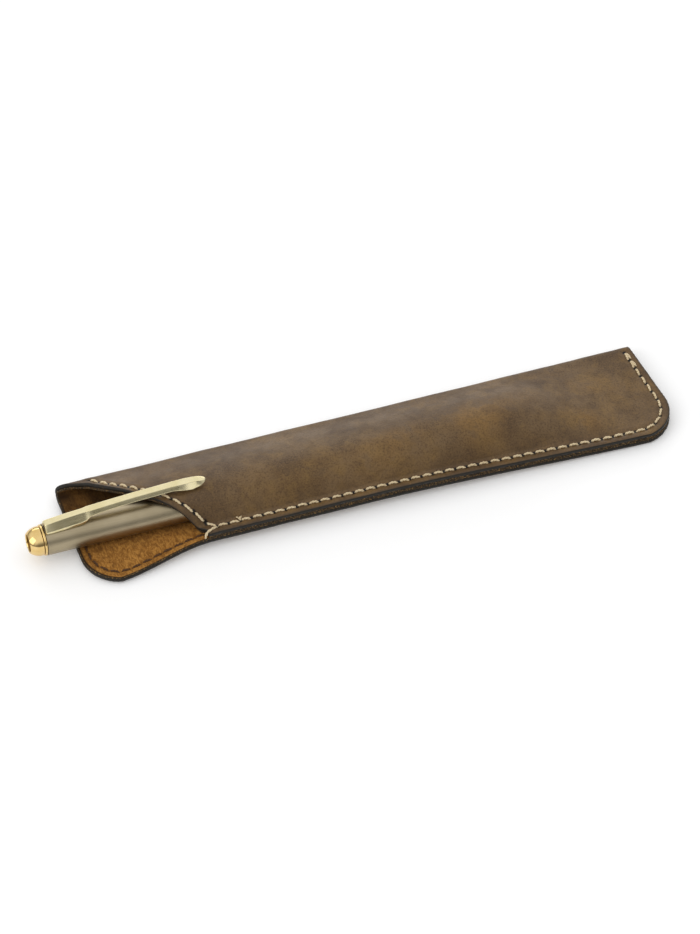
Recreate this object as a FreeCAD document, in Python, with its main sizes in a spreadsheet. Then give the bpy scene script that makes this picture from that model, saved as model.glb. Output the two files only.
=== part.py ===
import math
import os

import FreeCAD
import Part
import Sketcher

# Slim fountain pen in a stitched leather sleeve. Millimetres, +Z up.
# X runs from the open mouth to the closed end, Y from the seam to the fold.
# The origin is the centre of the underside of the whole assembly.

SIZES = {
    # sleeve, seen from above
    "case_length": 160.0, "case_width": 32.2, "lip_flare": 3.2, "corner_radius": 10.0,
    "end_slant": 8.2, "corner_gain": 1.3, "trim": 0.25,
    "flap_foot": 32.4, "flap_foot_y": 3.0, "flap_head": 3.5, "flap_head_y": 33.0,
    "flap_bow": 85.0,
    # sleeve, in cross-section
    "leather": 1.0, "suede": 0.55, "glue": 0.03, "slot": 0.06, "mouth_slot": 1.2,
    "seam_margin": 3.2,
    "seam_inset": 1.25, "seam_lift": 2.2, "lip_lift": 0.5, "end_lift": 0.25,
    "pen_y": 12.3, "pen_z": 6.05, "bulge_top": 12.4, "underside": -0.05,
    "fold_y": 30.3, "fold_radius": 2.8, "fold_z": 3.5, "end_fold_radius": 1.75,
    # where the sleeve changes shape along its length
    "lip_end": 5.0, "seam_start": 34.0, "edge_fall": 78.0, "edge_flat": 160.0,
    "tail_start": 112.0, "flat_start": 150.0,
    # stitching
    "thread_radius": 0.33, "stitch_pitch": 3.05, "stitch_share": 0.8, "seam_stitch_inset": 2.2,
    "edge_stitch_inset": 2.2,
    # pen: stations are measured from the tip of the finial
    "pen_reach": 12.5, "pen_length": 133.0,
    "finial_length": 3.4, "finial_radius": 3.85, "finial_bow": 4.0, "recess_radius": 2.1,
    "recess_depth": 0.9, "stem_radius": 1.4, "stem_end": 8.4,
    "ring_start": 3.55, "ring_end": 4.2, "ring_radius": 4.1,
    "cap_start": 4.3, "cap_end": 61.0, "cap_radius": 4.13, "cap_mouth_radius": 4.33,
    "cap_wall": 0.37, "cap_web": 0.9, "band_end": 62.6, "band_radius": 4.36,
    "inner_cap_end": 31.0, "inner_cap_radius": 3.6, "inner_cap_bore": 3.25,
    "section_start": 31.3, "section_radius": 3.4, "section_waist": 3.2, "section_bore": 2.88,
    "spigot_radius": 3.2, "spigot_end": 71.0, "clutch_start": 60.6, "clutch_radius": 3.85,
    "barrel_start": 62.9, "barrel_radius": 4.15, "barrel_wall": 0.45, "barrel_taper_at": 88.0,
    "barrel_end": 128.0, "barrel_tail_radius": 3.5, "plug_start": 124.0,
    "nib_tip": 14.5, "nib_shoulder": 23.0, "nib_end": 40.0, "nib_radius": 2.58, "nib_sheet": 0.22,
    "feed_tip": 17.5, "feed_radius": 2.28, "feed_core": 1.3, "fin_count": 8, "fin_pitch": 1.0,
    "nipple_radius": 1.6, "nipple_end": 67.2,
    "converter_start": 63.4, "converter_end": 105.0, "converter_radius": 2.5,
    "converter_bore": 2.1, "sleeve_radius": 2.8, "piston_start": 84.0, "piston_end": 87.0,
    "rod_end": 106.0, "rod_radius": 1.4, "spindle_radius": 0.8, "spindle_start": 87.8,
    "knob_start": 111.4, "knob_end": 119.0,
    # clip: heights are measured from the pen's axis
    "clip_start": 4.4, "clip_end": 47.5, "clip_width": 4.4, "clip_waist": 3.0, "clip_pad": 3.8,
    "clip_sheet": 1.2, "clip_rise": 8.7, "clip_foot": 4.3, "clip_contact": 6.9,
    "tongue_length": 1.2, "tongue_width": 2.4, "tongue_depth": 3.35,
    # clearance between pieces that slide or seat in one another
    "fit": 0.08,
}

doc = FreeCAD.newDocument("fountain_pen_case")
sheet = doc.addObject("Spreadsheet::Sheet", "Sizes")
for row, (name, number) in enumerate(SIZES.items(), start=1):
    sheet.set(f"A{row}", name)
    sheet.set(f"B{row}", str(number))
    sheet.setAlias(f"B{row}", name)
doc.recompute()


class Size:
    """A length read from the sheet, kept with the sheet formula that gives it."""

    def __init__(self, value, formula):
        self.value = value
        self.formula = formula

    def __add__(self, other):
        other = as_size(other)
        return Size(self.value + other.value, f"({self.formula} + {other.formula})")

    def __sub__(self, other):
        other = as_size(other)
        return Size(self.value - other.value, f"({self.formula} - {other.formula})")

    def __mul__(self, other):
        other = as_size(other)
        return Size(self.value * other.value, f"({self.formula} * {other.formula})")

    def __neg__(self):
        return Size(-self.value, f"(0 - {self.formula})")


def as_size(item):
    return item if isinstance(item, Size) else Size(float(item), str(float(item)))


class Sizes:
    """Every named size of the sheet as an attribute."""


size = Sizes()
for name in SIZES:
    setattr(size, name, Size(float(sheet.get(name)), f"Sizes.{name}"))


def number(name):
    return float(sheet.get(name))


WALL = number("leather") + number("glue") + number("suede")
SEAM = 2.0 * WALL + number("slot")
MIDDLE_X = 0.5 * (number("case_length") - number("pen_reach"))
MIDDLE_Y = 0.5 * (number("case_width") - number("lip_flare"))
CASE_PLACE = FreeCAD.Placement(FreeCAD.Vector(-MIDDLE_X, -MIDDLE_Y, 0.0), FreeCAD.Rotation())
PEN_PLACE = FreeCAD.Placement(
    FreeCAD.Vector(
        -MIDDLE_X - number("pen_reach"), number("pen_y") - MIDDLE_Y, number("pen_z")
    ),
    FreeCAD.Rotation(),
)


# ---------------------------------------------------------------- sketches

def plane(body, role):
    """One of the body's own origin planes."""
    return next(item for item in body.Origin.OriginFeatures if item.Role == role)


def pin_point(sketch, geometry, end, point):
    """Hold one point of a sketch at sheet-driven coordinates."""
    for kind, axis, coordinate in (("DistanceX", -2, point[0]), ("DistanceY", -1, point[1])):
        if abs(coordinate.value) < 1e-9:
            sketch.addConstraint(Sketcher.Constraint("PointOnObject", geometry, end, axis))
        else:
            rule = Sketcher.Constraint(kind, -1, 1, geometry, end, coordinate.value)
            index = sketch.addConstraint(rule)
            sketch.setExpression(f"Constraints[{index}]", coordinate.formula)


def draw_outline(sketch, points, bows=None):
    """Closed outline through the points; bows gives the radius of the side after a point."""
    bows = bows or {}
    points = [(as_size(x), as_size(y)) for x, y in points]
    corners = [FreeCAD.Vector(x.value, y.value, 0.0) for x, y in points]
    ends = []
    for index, first in enumerate(corners):
        second = corners[(index + 1) % len(corners)]
        if index in bows:
            radius = bows[index].value
            half = (second - first) * 0.5
            side = FreeCAD.Vector(-half.y, half.x, 0.0).normalize()
            rise = radius - math.sqrt(radius ** 2 - half.Length ** 2)
            edge = Part.Arc(first, first + half + side * rise, second)
        else:
            edge = Part.LineSegment(first, second)
        geometry = sketch.addGeometry(edge, False)
        starts_here = sketch.getPoint(geometry, 1).distanceToPoint(first) < 1e-6
        ends.append((geometry, 1, 2) if starts_here else (geometry, 2, 1))
        if index in bows:
            rule = sketch.addConstraint(Sketcher.Constraint("Radius", geometry, radius))
            sketch.setExpression(f"Constraints[{rule}]", bows[index].formula)
    for index, (geometry, head, tail) in enumerate(ends):
        following = ends[(index + 1) % len(ends)]
        rule = Sketcher.Constraint("Coincident", geometry, tail, following[0], following[1])
        sketch.addConstraint(rule)
        pin_point(sketch, geometry, head, points[index])


def new_sketch(body, role, points, bows=None):
    sketch = body.newObject("Sketcher::SketchObject", f"{body.Name}_outline")
    sketch.AttachmentSupport = [(plane(body, role), "")]
    sketch.MapMode = "FlatFace"
    draw_outline(sketch, points, bows)
    return sketch


def new_body(label, place):
    body = doc.addObject("PartDesign::Body", label)
    body.Label = label
    body.Placement = place
    return body


def turned(label, points, bows=None, spread=360.0):
    """A piece turned about the pen's axis; points are (station, radius)."""
    body = new_body(label, PEN_PLACE)
    sketch = new_sketch(body, "XZ_Plane", points, bows)
    turn = body.newObject("PartDesign::Revolution", f"{label}_turn")
    turn.Profile = sketch
    turn.ReferenceAxis = (sketch, ["H_Axis"])
    turn.Angle = spread
    turn.Midplane = spread < 360.0
    body.Tip = turn
    return body


def cut_through(body, role, points):
    """Remove an outline from a body, right through in both directions."""
    sketch = new_sketch(body, role, points)
    pocket = body.newObject("PartDesign::Pocket", f"{body.Name}_cut")
    pocket.Profile = sketch
    pocket.Type = "ThroughAll"
    pocket.Midplane = True
    body.Tip = pocket
    return pocket


# ---------------------------------------------------------------- sleeve sections

def ease(position, start, end):
    """Smooth change from 0 at start to 1 at end."""
    share = min(max((position - start) / (end - start), 0.0), 1.0)
    return share * share * (3.0 - 2.0 * share)


def bezier(poles, count):
    """Points along a cubic curve, the last one left out."""
    points = []
    for step in range(count):
        u = step / count
        weights = ((1 - u) ** 3, 3 * u * (1 - u) ** 2, 3 * u * u * (1 - u), u ** 3)
        points.append(tuple(sum(w * p[k] for w, p in zip(weights, poles)) for k in (0, 1)))
    return points


def mix(lip, middle, end, at, falls=("tail_start", "flat_start")):
    """A size that changes from the lip to the pen's stretch to the flat end."""
    at_lip = 1.0 - ease(at, number("lip_end"), number("seam_start"))
    at_end = ease(at, number(falls[0]), number(falls[1]))
    return lip * at_lip + end * at_end + middle * (1.0 - at_lip) * (1.0 - at_end)


def section_sizes(at):
    """The few sizes that give the sleeve's outer outline at one station.

    The gap between the two seam edges opens in the mouth, where the flap is cut away.
    """
    lift = number("end_lift")
    slot, trim = number("slot"), number("trim")
    floor, top = number("underside"), number("bulge_top")
    fold, bend, bend_z = number("fold_y"), number("fold_radius"), number("fold_z")
    seam = {"at": at, "falls": ("edge_fall", "edge_flat")}
    return {
        "gap": mix(number("mouth_slot"), slot, slot, at),
        "edge": mix(-number("lip_flare") - trim, number("seam_inset"), -trim, **seam),
        "low": mix(number("lip_lift"), number("seam_lift"), lift, **seam),
        "floor": mix(floor, floor, lift, at),
        "top": mix(top, top, lift + SEAM, at),
        "fold": mix(fold, fold, number("case_width"), at),
        "round": mix(bend, bend, number("end_fold_radius"), at),
        "fold_z": mix(bend_z, bend_z, lift + 0.5 * SEAM, at),
    }


def on_fold(s, bend, angle):
    """A point of the fold's round edge."""
    return bend + s["round"] * math.cos(angle), s["fold_z"] + s["round"] * math.sin(angle)


def outer_outline(at):
    """Outer face of the folded leather, from the back seam edge round to the front one."""
    s = section_sizes(at)
    flat = s["edge"] + number("seam_margin")
    centre = number("pen_y")
    bend = s["fold"] - s["round"]
    half = centre - flat
    far = bend - centre
    lean = math.atan2(s["top"] - s["fold_z"] - s["round"], 0.9 * far)
    turn = math.pi - lean
    points = bezier([(s["edge"] + number("seam_margin") * k / 3, s["low"]) for k in range(4)], 5)
    points += bezier(
        [(flat, s["low"]), (flat + 0.45 * half, s["low"]),
         (centre - 0.45 * half, s["floor"]), (centre, s["floor"])], 8)
    points += bezier(
        [(centre, s["floor"]), (centre + 0.55 * far, s["floor"]),
         (bend - 0.35 * far, s["fold_z"] - s["round"]), (bend, s["fold_z"] - s["round"])], 8)
    for step in range(10):
        angle = -0.5 * math.pi + turn * step / 10
        points.append(on_fold(s, bend, angle))
    head = on_fold(s, bend, turn - 0.5 * math.pi)
    reach = head[0] - centre
    points += bezier(
        [head, (head[0] - 0.4 * reach * math.cos(lean), head[1] + 0.4 * reach * math.sin(lean)),
         (centre + 0.38 * reach, s["top"]), (centre, s["top"])], 8)
    high = s["low"] + 2.0 * WALL + s["gap"]
    points += bezier(
        [(centre, s["top"]), (centre - 0.68 * half, s["top"]),
         (flat + 0.12 * half, high), (flat, high)], 8)
    points += bezier([(flat - number("seam_margin") * k / 3, high) for k in range(4)], 5)
    points.append((s["edge"], high))
    return points


def inset(points, depth):
    """The same outline moved inwards, square to itself."""
    moved = []
    for index, (y, z) in enumerate(points):
        before = points[max(index - 1, 0)]
        after = points[min(index + 1, len(points) - 1)]
        run, rise = after[0] - before[0], after[1] - before[1]
        length = math.hypot(run, rise)
        moved.append((y - depth * rise / length, z + depth * run / length))
    return moved


def chord_spacing(outline):
    """Share of the whole length at each point of an outline."""
    total = [0.0]
    for first, second in zip(outline, outline[1:]):
        total.append(total[-1] + math.dist(first, second))
    return [length / total[-1] for length in total]


def folded_sheet(outside, inside):
    """One folded sheet between two depths below the sleeve's outer face."""
    wires = []
    last = number("case_length") + 3.0
    count = 22
    spacing = {
        depth: chord_spacing(inset(outer_outline(0.5 * last), depth))
        for depth in (outside, inside)
    }
    for station in range(count + 1):
        at = last * station / count
        edges = []
        for depth in (outside, inside):
            outline = inset(outer_outline(at), depth)
            curve = Part.BSplineCurve()
            curve.interpolate(
                Points=[FreeCAD.Vector(at, y, z) for y, z in outline],
                Parameters=spacing[depth])
            edges.append(curve.toShape())
        outer, inner = edges
        close_front = Part.makeLine(outer.lastVertex().Point, inner.lastVertex().Point)
        close_back = Part.makeLine(inner.firstVertex().Point, outer.firstVertex().Point)
        wires.append(Part.Wire([outer, close_front, inner, close_back]))
    return Part.makeLoft(wires, True, False)


def part_feature(label, shape, place):
    feature = doc.addObject("Part::Feature", label)
    feature.Label = label
    feature.Shape = shape
    feature.Placement = place
    return feature


def slab(label, points, low, high, rounds=(), bows=None):
    """An outline in plan, extruded up, with some of its upright corners rounded."""
    body = new_body(label, FreeCAD.Placement())
    sketch = new_sketch(body, "XY_Plane", points, bows)
    pad = body.newObject("PartDesign::Pad", f"{label}_pad")
    pad.Profile = sketch
    pad.setExpression("Length", (high - low).formula)
    sketch.setExpression("AttachmentOffset.Base.z", low.formula)
    body.Tip = pad
    doc.recompute()
    if rounds:
        names = []
        for index, edge in enumerate(pad.Shape.Edges, start=1):
            middle = edge.CenterOfMass
            near = [math.hypot(middle.x - x.value, middle.y - y.value) < 0.01 for x, y in rounds]
            if any(near):
                names.append(f"Edge{index}")
        fillet = body.newObject("PartDesign::Fillet", f"{label}_round")
        fillet.Base = (pad, names)
        fillet.setExpression("Radius", size.corner_radius.formula)
        body.Tip = fillet
    return body


def boolean(kind, label, base, tool):
    result = doc.addObject(kind, label)
    result.Label = label
    result.Base = base
    result.Tool = tool
    return result


def plan_outline():
    """The trimmed outline of the folded sleeve: lip corner, seam corner and slanted end."""
    slant = math.tan(math.radians(number("end_slant")))
    past = size.case_length + size.corner_gain
    far = as_size(50.0)
    lip = -size.lip_flare
    corner = (past, as_size(0.0))
    points = [
        (0.0, lip), (size.edge_flat - 30.0, lip), (size.edge_flat - 24.0, 0.0), corner,
        (past - far * slant, far), (0.0, far),
    ]
    return slab("plan_outline", points, as_size(0.0), as_size(30.0), [(as_size(0.0), lip), corner])


def above_back_panel():
    """Everything that lies above the gap between the back panel and the flap."""
    wires = []
    for step in range(15):
        at = -5.0 + 4.0 * step
        s = section_sizes(at)
        middle = s["low"] + WALL + 0.5 * s["gap"]
        flat = s["edge"] + number("seam_margin")
        outline = [
            (-8.0, middle), (flat, middle), (number("pen_y") - 2.0, 5.0),
            (s["fold"] - s["round"], s["fold_z"]), (s["fold"] + 5.0, s["fold_z"]),
            (s["fold"] + 5.0, 30.0), (-8.0, 30.0),
        ]
        wires.append(Part.makePolygon([FreeCAD.Vector(at, y, z) for y, z in outline + outline[:1]]))
    return part_feature("above_back_panel", Part.makeLoft(wires, True, True), FreeCAD.Placement())


def mouth_region():
    """Plan of what the bowed diagonal cut of the flap takes away."""
    points = [
        (-20.0, -12.0), (size.flap_foot, -12.0), (size.flap_foot, size.flap_foot_y),
        (size.flap_head, size.flap_head_y), (size.flap_head, 45.0), (-20.0, 45.0),
    ]
    return slab("mouth_region", points, as_size(-1.0), as_size(31.0), bows={2: size.flap_bow})


def trimmed(label, sheet_shape, outline, mouth):
    """Cut a folded sheet to the sleeve's outline and open its mouth.

    The outline starts at height 0, so the sleeve is worn flat where it lies.
    """
    raw = part_feature(f"{label}_sheet", sheet_shape, FreeCAD.Placement())
    whole = boolean("Part::Common", f"{label}_whole", raw, outline)
    opened = boolean("Part::Cut", label, whole, mouth)
    opened.Placement = CASE_PLACE
    return opened


# ---------------------------------------------------------------- stitching

def surface_height(at, y, upper):
    """Height of the sleeve's outer face, on its upper or its lower side."""
    outline = outer_outline(at)
    turn = max(range(len(outline)), key=lambda k: outline[k][0])
    side = outline[turn:][::-1] if upper else outline[:turn + 1]
    for first, second in zip(side, side[1:]):
        if first[0] <= y <= second[0]:
            share = (y - first[0]) / (second[0] - first[0])
            return first[1] + share * (second[1] - first[1])
    return side[-1][1]


def along(path, pitch):
    """Points a pitch apart along a path of plan points."""
    marks = [path[0]]
    left = pitch
    for first, second in zip(path, path[1:]):
        run = math.dist(first, second)
        done = 0.0
        while run - done >= left:
            done += left
            left = pitch
            share = done / run
            marks.append(tuple(a + share * (b - a) for a, b in zip(first, second)))
        left -= run - done
    return marks


def seam_path():
    """Stitch line along the seam, round the closed corner and up the slanted end."""
    inset_by = number("seam_stitch_inset")
    radius = number("corner_radius")
    slant = math.radians(number("end_slant"))
    past = number("case_length") + number("corner_gain")
    centre = past - radius * math.tan(slant) - radius / math.cos(slant)
    path = []
    at = number("seam_start") + 1.3
    while at < centre:
        path.append((at, section_sizes(at)["edge"] + inset_by))
        at += 1.0
    for step in range(13):
        angle = -0.5 * math.pi + (0.5 * math.pi + slant) * step / 12
        reach = radius - inset_by
        path.append((centre + reach * math.cos(angle), radius + reach * math.sin(angle)))
    top = number("case_width") - 3.0
    path.append((path[-1][0] - (top - path[-1][1]) * math.tan(slant), top))
    return path


def flap_path():
    """Stitch line just inside the flap's bowed edge, from the seam to the fold."""
    foot = number("flap_foot"), number("flap_foot_y")
    head = number("flap_head"), number("flap_head_y")
    bow = number("flap_bow")
    half = 0.5 * math.dist(foot, head)
    rise = math.sqrt(bow ** 2 - half ** 2) / (2.0 * half)
    centre_x = 0.5 * (foot[0] + head[0]) + rise * (head[1] - foot[1])
    centre_y = 0.5 * (foot[1] + head[1]) + rise * (foot[0] - head[0])
    reach = bow - number("edge_stitch_inset")
    low, high = number("flap_foot_y") + 1.4, number("fold_y") - 1.2
    count = 20
    heights = [low + (high - low) * step / count for step in range(count + 1)]
    return [(centre_x - math.sqrt(reach ** 2 - (y - centre_y) ** 2), y) for y in heights]


def lip_path():
    """Stitch line round the lip, from beside the seam to the fold."""
    inset_by = number("edge_stitch_inset")
    radius = number("corner_radius")
    path = []
    at = number("seam_start") - 2.0
    while at >= radius:
        path.append((at, section_sizes(at)["edge"] + inset_by))
        at -= 2.0
    for step in range(1, 9):
        angle = -0.5 * math.pi - 0.5 * math.pi * step / 8
        reach = radius - inset_by
        path.append((radius + reach * math.cos(angle),
                     radius - number("lip_flare") + reach * math.sin(angle)))
    path.append((inset_by, number("fold_y") - 4.0))
    return path


def stitch(first, second, radius):
    """One stitch: a round-ended bar of thread between two points."""
    axis = second - first
    length = axis.Length
    up = FreeCAD.Vector(0, 0, 1)
    half = radius * math.sqrt(0.5)
    profile = [
        FreeCAD.Vector(0, 0, -radius), FreeCAD.Vector(half, 0, -half),
        FreeCAD.Vector(radius, 0, 0), FreeCAD.Vector(radius, 0, length),
        FreeCAD.Vector(half, 0, length + half), FreeCAD.Vector(0, 0, length + radius),
    ]
    edges = [
        Part.Arc(*profile[:3]).toShape(), Part.makeLine(profile[2], profile[3]),
        Part.Arc(*profile[3:]).toShape(), Part.makeLine(profile[5], profile[0]),
    ]
    turned_shape = Part.Face(Part.Wire(edges)).revolve(FreeCAD.Vector(), up, 360.0)
    solid = Part.Solid(Part.Shell(turned_shape.Faces))
    solid.Placement = FreeCAD.Placement(first, FreeCAD.Rotation(up, axis))
    return solid


def stitch_row(path, height, sink):
    """A row of stitches laid along a path on a face of the sleeve."""
    pitch = number("stitch_pitch")
    share = 0.5 * (1.0 - number("stitch_share"))
    radius = number("thread_radius")
    marks = along(path, pitch)
    points = [FreeCAD.Vector(x, y, height(x, y) + sink) for x, y in marks]
    stitches = []
    for first, second in zip(points, points[1:]):
        start = first + (second - first) * share
        stop = second - (second - first) * share
        stitches.append(stitch(start, stop, radius))
    return stitches


def upper_face(x, y):
    return surface_height(x, y, True)


def flap_lining_face(x, y):
    return surface_height(x, y, True) - WALL


def lip_lining_face(x, y):
    return surface_height(x, y, False) + WALL


def pressed_face(x, y):
    """Underside stitches sink into the leather where it lies flat."""
    return max(surface_height(x, y, False), number("thread_radius"))


def thread_nodes():
    """Needle thread on the outside and bobbin thread on the other side of each stitch row."""
    proud = 0.3 * number("thread_radius")
    seam_top = stitch_row(seam_path(), upper_face, proud)
    seam_back = stitch_row(seam_path(), pressed_face, 0.0)
    edge_out = stitch_row(flap_path(), upper_face, proud)
    edge_out += stitch_row(lip_path(), pressed_face, 0.0)
    edge_in = stitch_row(flap_path(), flap_lining_face, number("thread_radius"))
    edge_in += stitch_row(lip_path(), lip_lining_face, -number("thread_radius"))
    rows = {
        "seam_needle_thread": seam_top, "seam_bobbin_thread": seam_back,
        "edge_needle_thread": edge_out, "edge_bobbin_thread": edge_in,
    }
    return [part_feature(name, Part.makeCompound(row), CASE_PLACE) for name, row in rows.items()]


# ---------------------------------------------------------------- pen

def cap_pieces():
    s = size
    finial = turned("cap_finial", [
        (s.recess_depth, 0), (s.recess_depth, s.recess_radius), (0, s.recess_radius + 0.15),
        (s.finial_length, s.finial_radius), (s.finial_length, s.stem_radius),
        (s.stem_end, s.stem_radius), (s.stem_end, 0),
    ], {2: s.finial_bow})
    ring = turned("cap_ring", [
        (s.ring_start, s.stem_radius + s.fit), (s.ring_start, s.ring_radius),
        (s.ring_end, s.ring_radius), (s.ring_end, s.stem_radius + s.fit),
    ])
    tube = turned("cap_tube", [
        (s.cap_start, s.stem_radius + s.fit), (s.cap_start, s.cap_radius),
        (s.cap_end, s.cap_mouth_radius), (s.cap_end, s.cap_mouth_radius - s.cap_wall),
        (s.cap_start + s.cap_web, s.cap_radius - s.cap_wall),
        (s.cap_start + s.cap_web, s.stem_radius + s.fit),
    ])
    slot_edge = s.clip_start + s.cap_web + s.fit
    cut_slot(tube, slot_edge)
    inner_start = s.cap_start + s.cap_web + s.fit
    inner = turned("inner_cap", [
        (inner_start, s.stem_radius + s.fit), (inner_start, s.tongue_depth - 0.3),
        (s.stem_end, s.tongue_depth - 0.3), (s.stem_end, s.inner_cap_radius),
        (s.inner_cap_end, s.inner_cap_radius), (s.inner_cap_end, s.inner_cap_bore),
        (s.stem_end + 1.6, s.inner_cap_bore), (s.stem_end + 1.6, 0),
        (s.stem_end + 0.3, 0), (s.stem_end + 0.3, s.stem_radius + s.fit),
    ])
    band_bore = s.cap_mouth_radius - s.cap_wall
    band = turned("cap_lip_band", [
        (s.cap_end + 0.03, band_bore), (s.cap_end + 0.03, s.band_radius),
        (s.band_end, s.band_radius), (s.band_end, band_bore),
    ])
    return [finial, ring, tube, inner, band]


def cut_slot(tube, start):
    """The slot in the top of the cap that the clip's tongue goes through."""
    half = size.tongue_width * 0.5 + size.fit
    sketch = new_sketch(tube, "XY_Plane", [
        (start, -half), (start + size.tongue_length + 0.24, -half),
        (start + size.tongue_length + 0.24, half), (start, half),
    ])
    pocket = tube.newObject("PartDesign::Pocket", "cap_tube_slot")
    pocket.Profile = sketch
    pocket.Length = 8.0
    pocket.Reversed = True
    tube.Tip = pocket


def clip_piece():
    """Plain tapered clip with a rounded end, a contact bump and a tongue into the cap."""
    s = size
    tongue = s.clip_start + s.cap_web + s.fit + 0.12
    body = new_body("pen_clip", PEN_PLACE)
    sketch = new_sketch(body, "XZ_Plane", [
        (s.clip_start, s.clip_foot), (s.clip_start, s.clip_foot + 1.9),
        (s.clip_start + 9.5, s.clip_rise - 1.3), (s.clip_start + 24.0, s.clip_rise),
        (s.clip_end - 9.0, s.clip_rise + 0.5), (s.clip_end, s.clip_rise),
        (s.clip_end, s.clip_rise - 0.7), (s.clip_end - 4.0, s.clip_contact),
        (s.clip_end - 8.0, s.clip_rise + 0.4 - s.clip_sheet),
        (s.clip_start + 24.0, s.clip_rise - s.clip_sheet),
        (s.clip_start + 9.5, s.clip_rise - 1.3 - s.clip_sheet),
        (s.clip_start + 4.0, s.clip_foot),
    ])
    pad = body.newObject("PartDesign::Pad", "pen_clip_pad")
    pad.Profile = sketch
    pad.Midplane = True
    pad.setExpression("Length", (s.clip_width + 2.0).formula)
    body.Tip = pad
    waist = s.clip_start + 16.0
    root, neck, bulb = s.clip_width * 0.5, s.clip_waist * 0.5, s.clip_pad * 0.5
    reach = s.clip_width + 2.0
    for side in (1.0, -1.0):
        outline = [
            (s.clip_start - 1.0, root * side), (waist, neck * side),
            (s.clip_end - 8.0, neck * side), (s.clip_end - 4.2, bulb * side),
            (s.clip_end - 2.0, bulb * (0.82 * side)), (s.clip_end - 0.4, bulb * (0.4 * side)),
            (s.clip_end + 1.0, bulb * (0.1 * side)),
            (s.clip_end + 1.0, reach * side), (s.clip_start - 1.0, reach * side),
        ]
        cut_through(body, "XY_Plane", outline)
    tongue_sketch = new_sketch(body, "XZ_Plane", [
        (tongue, s.tongue_depth), (tongue, s.clip_foot + 0.5),
        (tongue + s.tongue_length, s.clip_foot + 0.5), (tongue + s.tongue_length, s.tongue_depth),
    ])
    peg = body.newObject("PartDesign::Pad", "pen_clip_tongue")
    peg.Profile = tongue_sketch
    peg.Midplane = True
    peg.setExpression("Length", s.tongue_width.formula)
    body.Tip = peg
    return body


def barrel_pieces():
    s = size
    tube = turned("barrel_tube", [
        (s.barrel_start, s.barrel_radius - s.barrel_wall), (s.barrel_start, s.barrel_radius),
        (s.barrel_taper_at, s.barrel_radius), (s.barrel_end, s.barrel_tail_radius),
        (s.barrel_end, s.barrel_tail_radius - s.barrel_wall),
        (s.barrel_taper_at, s.barrel_radius - s.barrel_wall),
    ])
    ring = turned("barrel_thread_ring", [
        (s.barrel_start + 0.2, s.spigot_radius + s.fit),
        (s.barrel_start + 0.2, s.barrel_radius - s.barrel_wall - 0.04),
        (s.spigot_end, s.barrel_radius - s.barrel_wall - 0.04),
        (s.spigot_end, s.spigot_radius + s.fit),
    ])
    plug = s.barrel_tail_radius - s.barrel_wall - 0.06
    tail = turned("barrel_tail_cap", [
        (s.plug_start, 0), (s.plug_start, plug), (s.barrel_end + 0.05, plug),
        (s.barrel_end + 0.05, s.barrel_tail_radius), (s.barrel_end + 0.9, s.barrel_tail_radius),
        (s.pen_length, 0.8), (s.pen_length, 0),
    ], {4: as_size(5.0)})
    return [tube, ring, tail]


def section_pieces():
    s = size
    grip = turned("grip_section", [
        (s.section_start, s.section_bore), (s.section_start, s.section_radius - 0.15),
        (s.section_start + 1.2, s.section_radius), (s.section_start + 18.0, s.section_waist),
        (s.clutch_start - 0.2, s.section_radius + 0.15), (s.clutch_start - 0.2, s.spigot_radius),
        (s.spigot_end, s.spigot_radius), (s.spigot_end, s.section_bore),
    ])
    clutch = turned("section_clutch_ring", [
        (s.clutch_start, s.spigot_radius + 0.04), (s.clutch_start, s.clutch_radius),
        (s.clutch_start + 2.0, s.clutch_radius), (s.clutch_start + 2.0, s.spigot_radius + 0.04),
    ])
    collar = turned("nib_collar", [
        (s.section_start + 1.0, s.nib_radius + 0.04),
        (s.section_start + 1.0, s.section_bore - 0.04),
        (s.nib_end + 1.0, s.section_bore - 0.04), (s.nib_end + 1.0, s.nib_radius + 0.04),
    ])
    return [grip, clutch, collar, nib_piece(), feed_piece()]


def nib_piece():
    """Bent sheet nib: half a tube that closes in to a point, with its slit and vent."""
    s = size
    inner = s.nib_radius - s.nib_sheet
    nib = turned("nib", [
        (s.nib_tip, inner - 0.9), (s.nib_tip, s.nib_radius - 0.9),
        (s.nib_shoulder, s.nib_radius), (s.nib_end, s.nib_radius),
        (s.nib_end, inner), (s.nib_shoulder, inner),
    ], spread=150.0)
    for side in (1.0, -1.0):
        cut_through(nib, "XY_Plane", [
            (s.nib_tip - 1.0, s.nib_sheet * side), (s.nib_tip, s.nib_sheet * (1.6 * side)),
            (s.nib_shoulder, s.nib_radius * (0.95 * side)),
            (s.nib_shoulder, s.nib_radius * (1.3 * side)),
            (s.nib_tip - 1.0, s.nib_radius * (1.3 * side)),
        ])
    cut_through(nib, "XY_Plane", [
        (s.nib_tip - 1.0, -0.04), (s.nib_shoulder, -0.04), (s.nib_shoulder, -0.35),
        (s.nib_shoulder + 0.7, -0.35), (s.nib_shoulder + 0.7, 0.35), (s.nib_shoulder, 0.35),
        (s.nib_shoulder, 0.04), (s.nib_tip - 1.0, 0.04),
    ])
    return nib


def feed_piece():
    """Finned ink feed with the nipple that the converter pushes on to."""
    s = size
    points = [(s.feed_tip, 0), (s.feed_tip, s.feed_core - 0.2), (s.nib_shoulder, s.feed_radius)]
    for fin in range(int(number("fin_count"))):
        start = s.nib_shoulder + 0.4 + s.fin_pitch * fin
        points += [
            (start, s.feed_radius), (start, s.feed_core), (start + 0.45, s.feed_core),
            (start + 0.45, s.feed_radius),
        ]
    points += [
        (s.nib_end, s.feed_radius), (s.nib_end, s.feed_core),
        (s.converter_start - 1.6, s.feed_core), (s.converter_start - 1.6, s.nipple_radius),
        (s.nipple_end, s.nipple_radius), (s.nipple_end, 0),
    ]
    return turned("feed", points)


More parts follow.
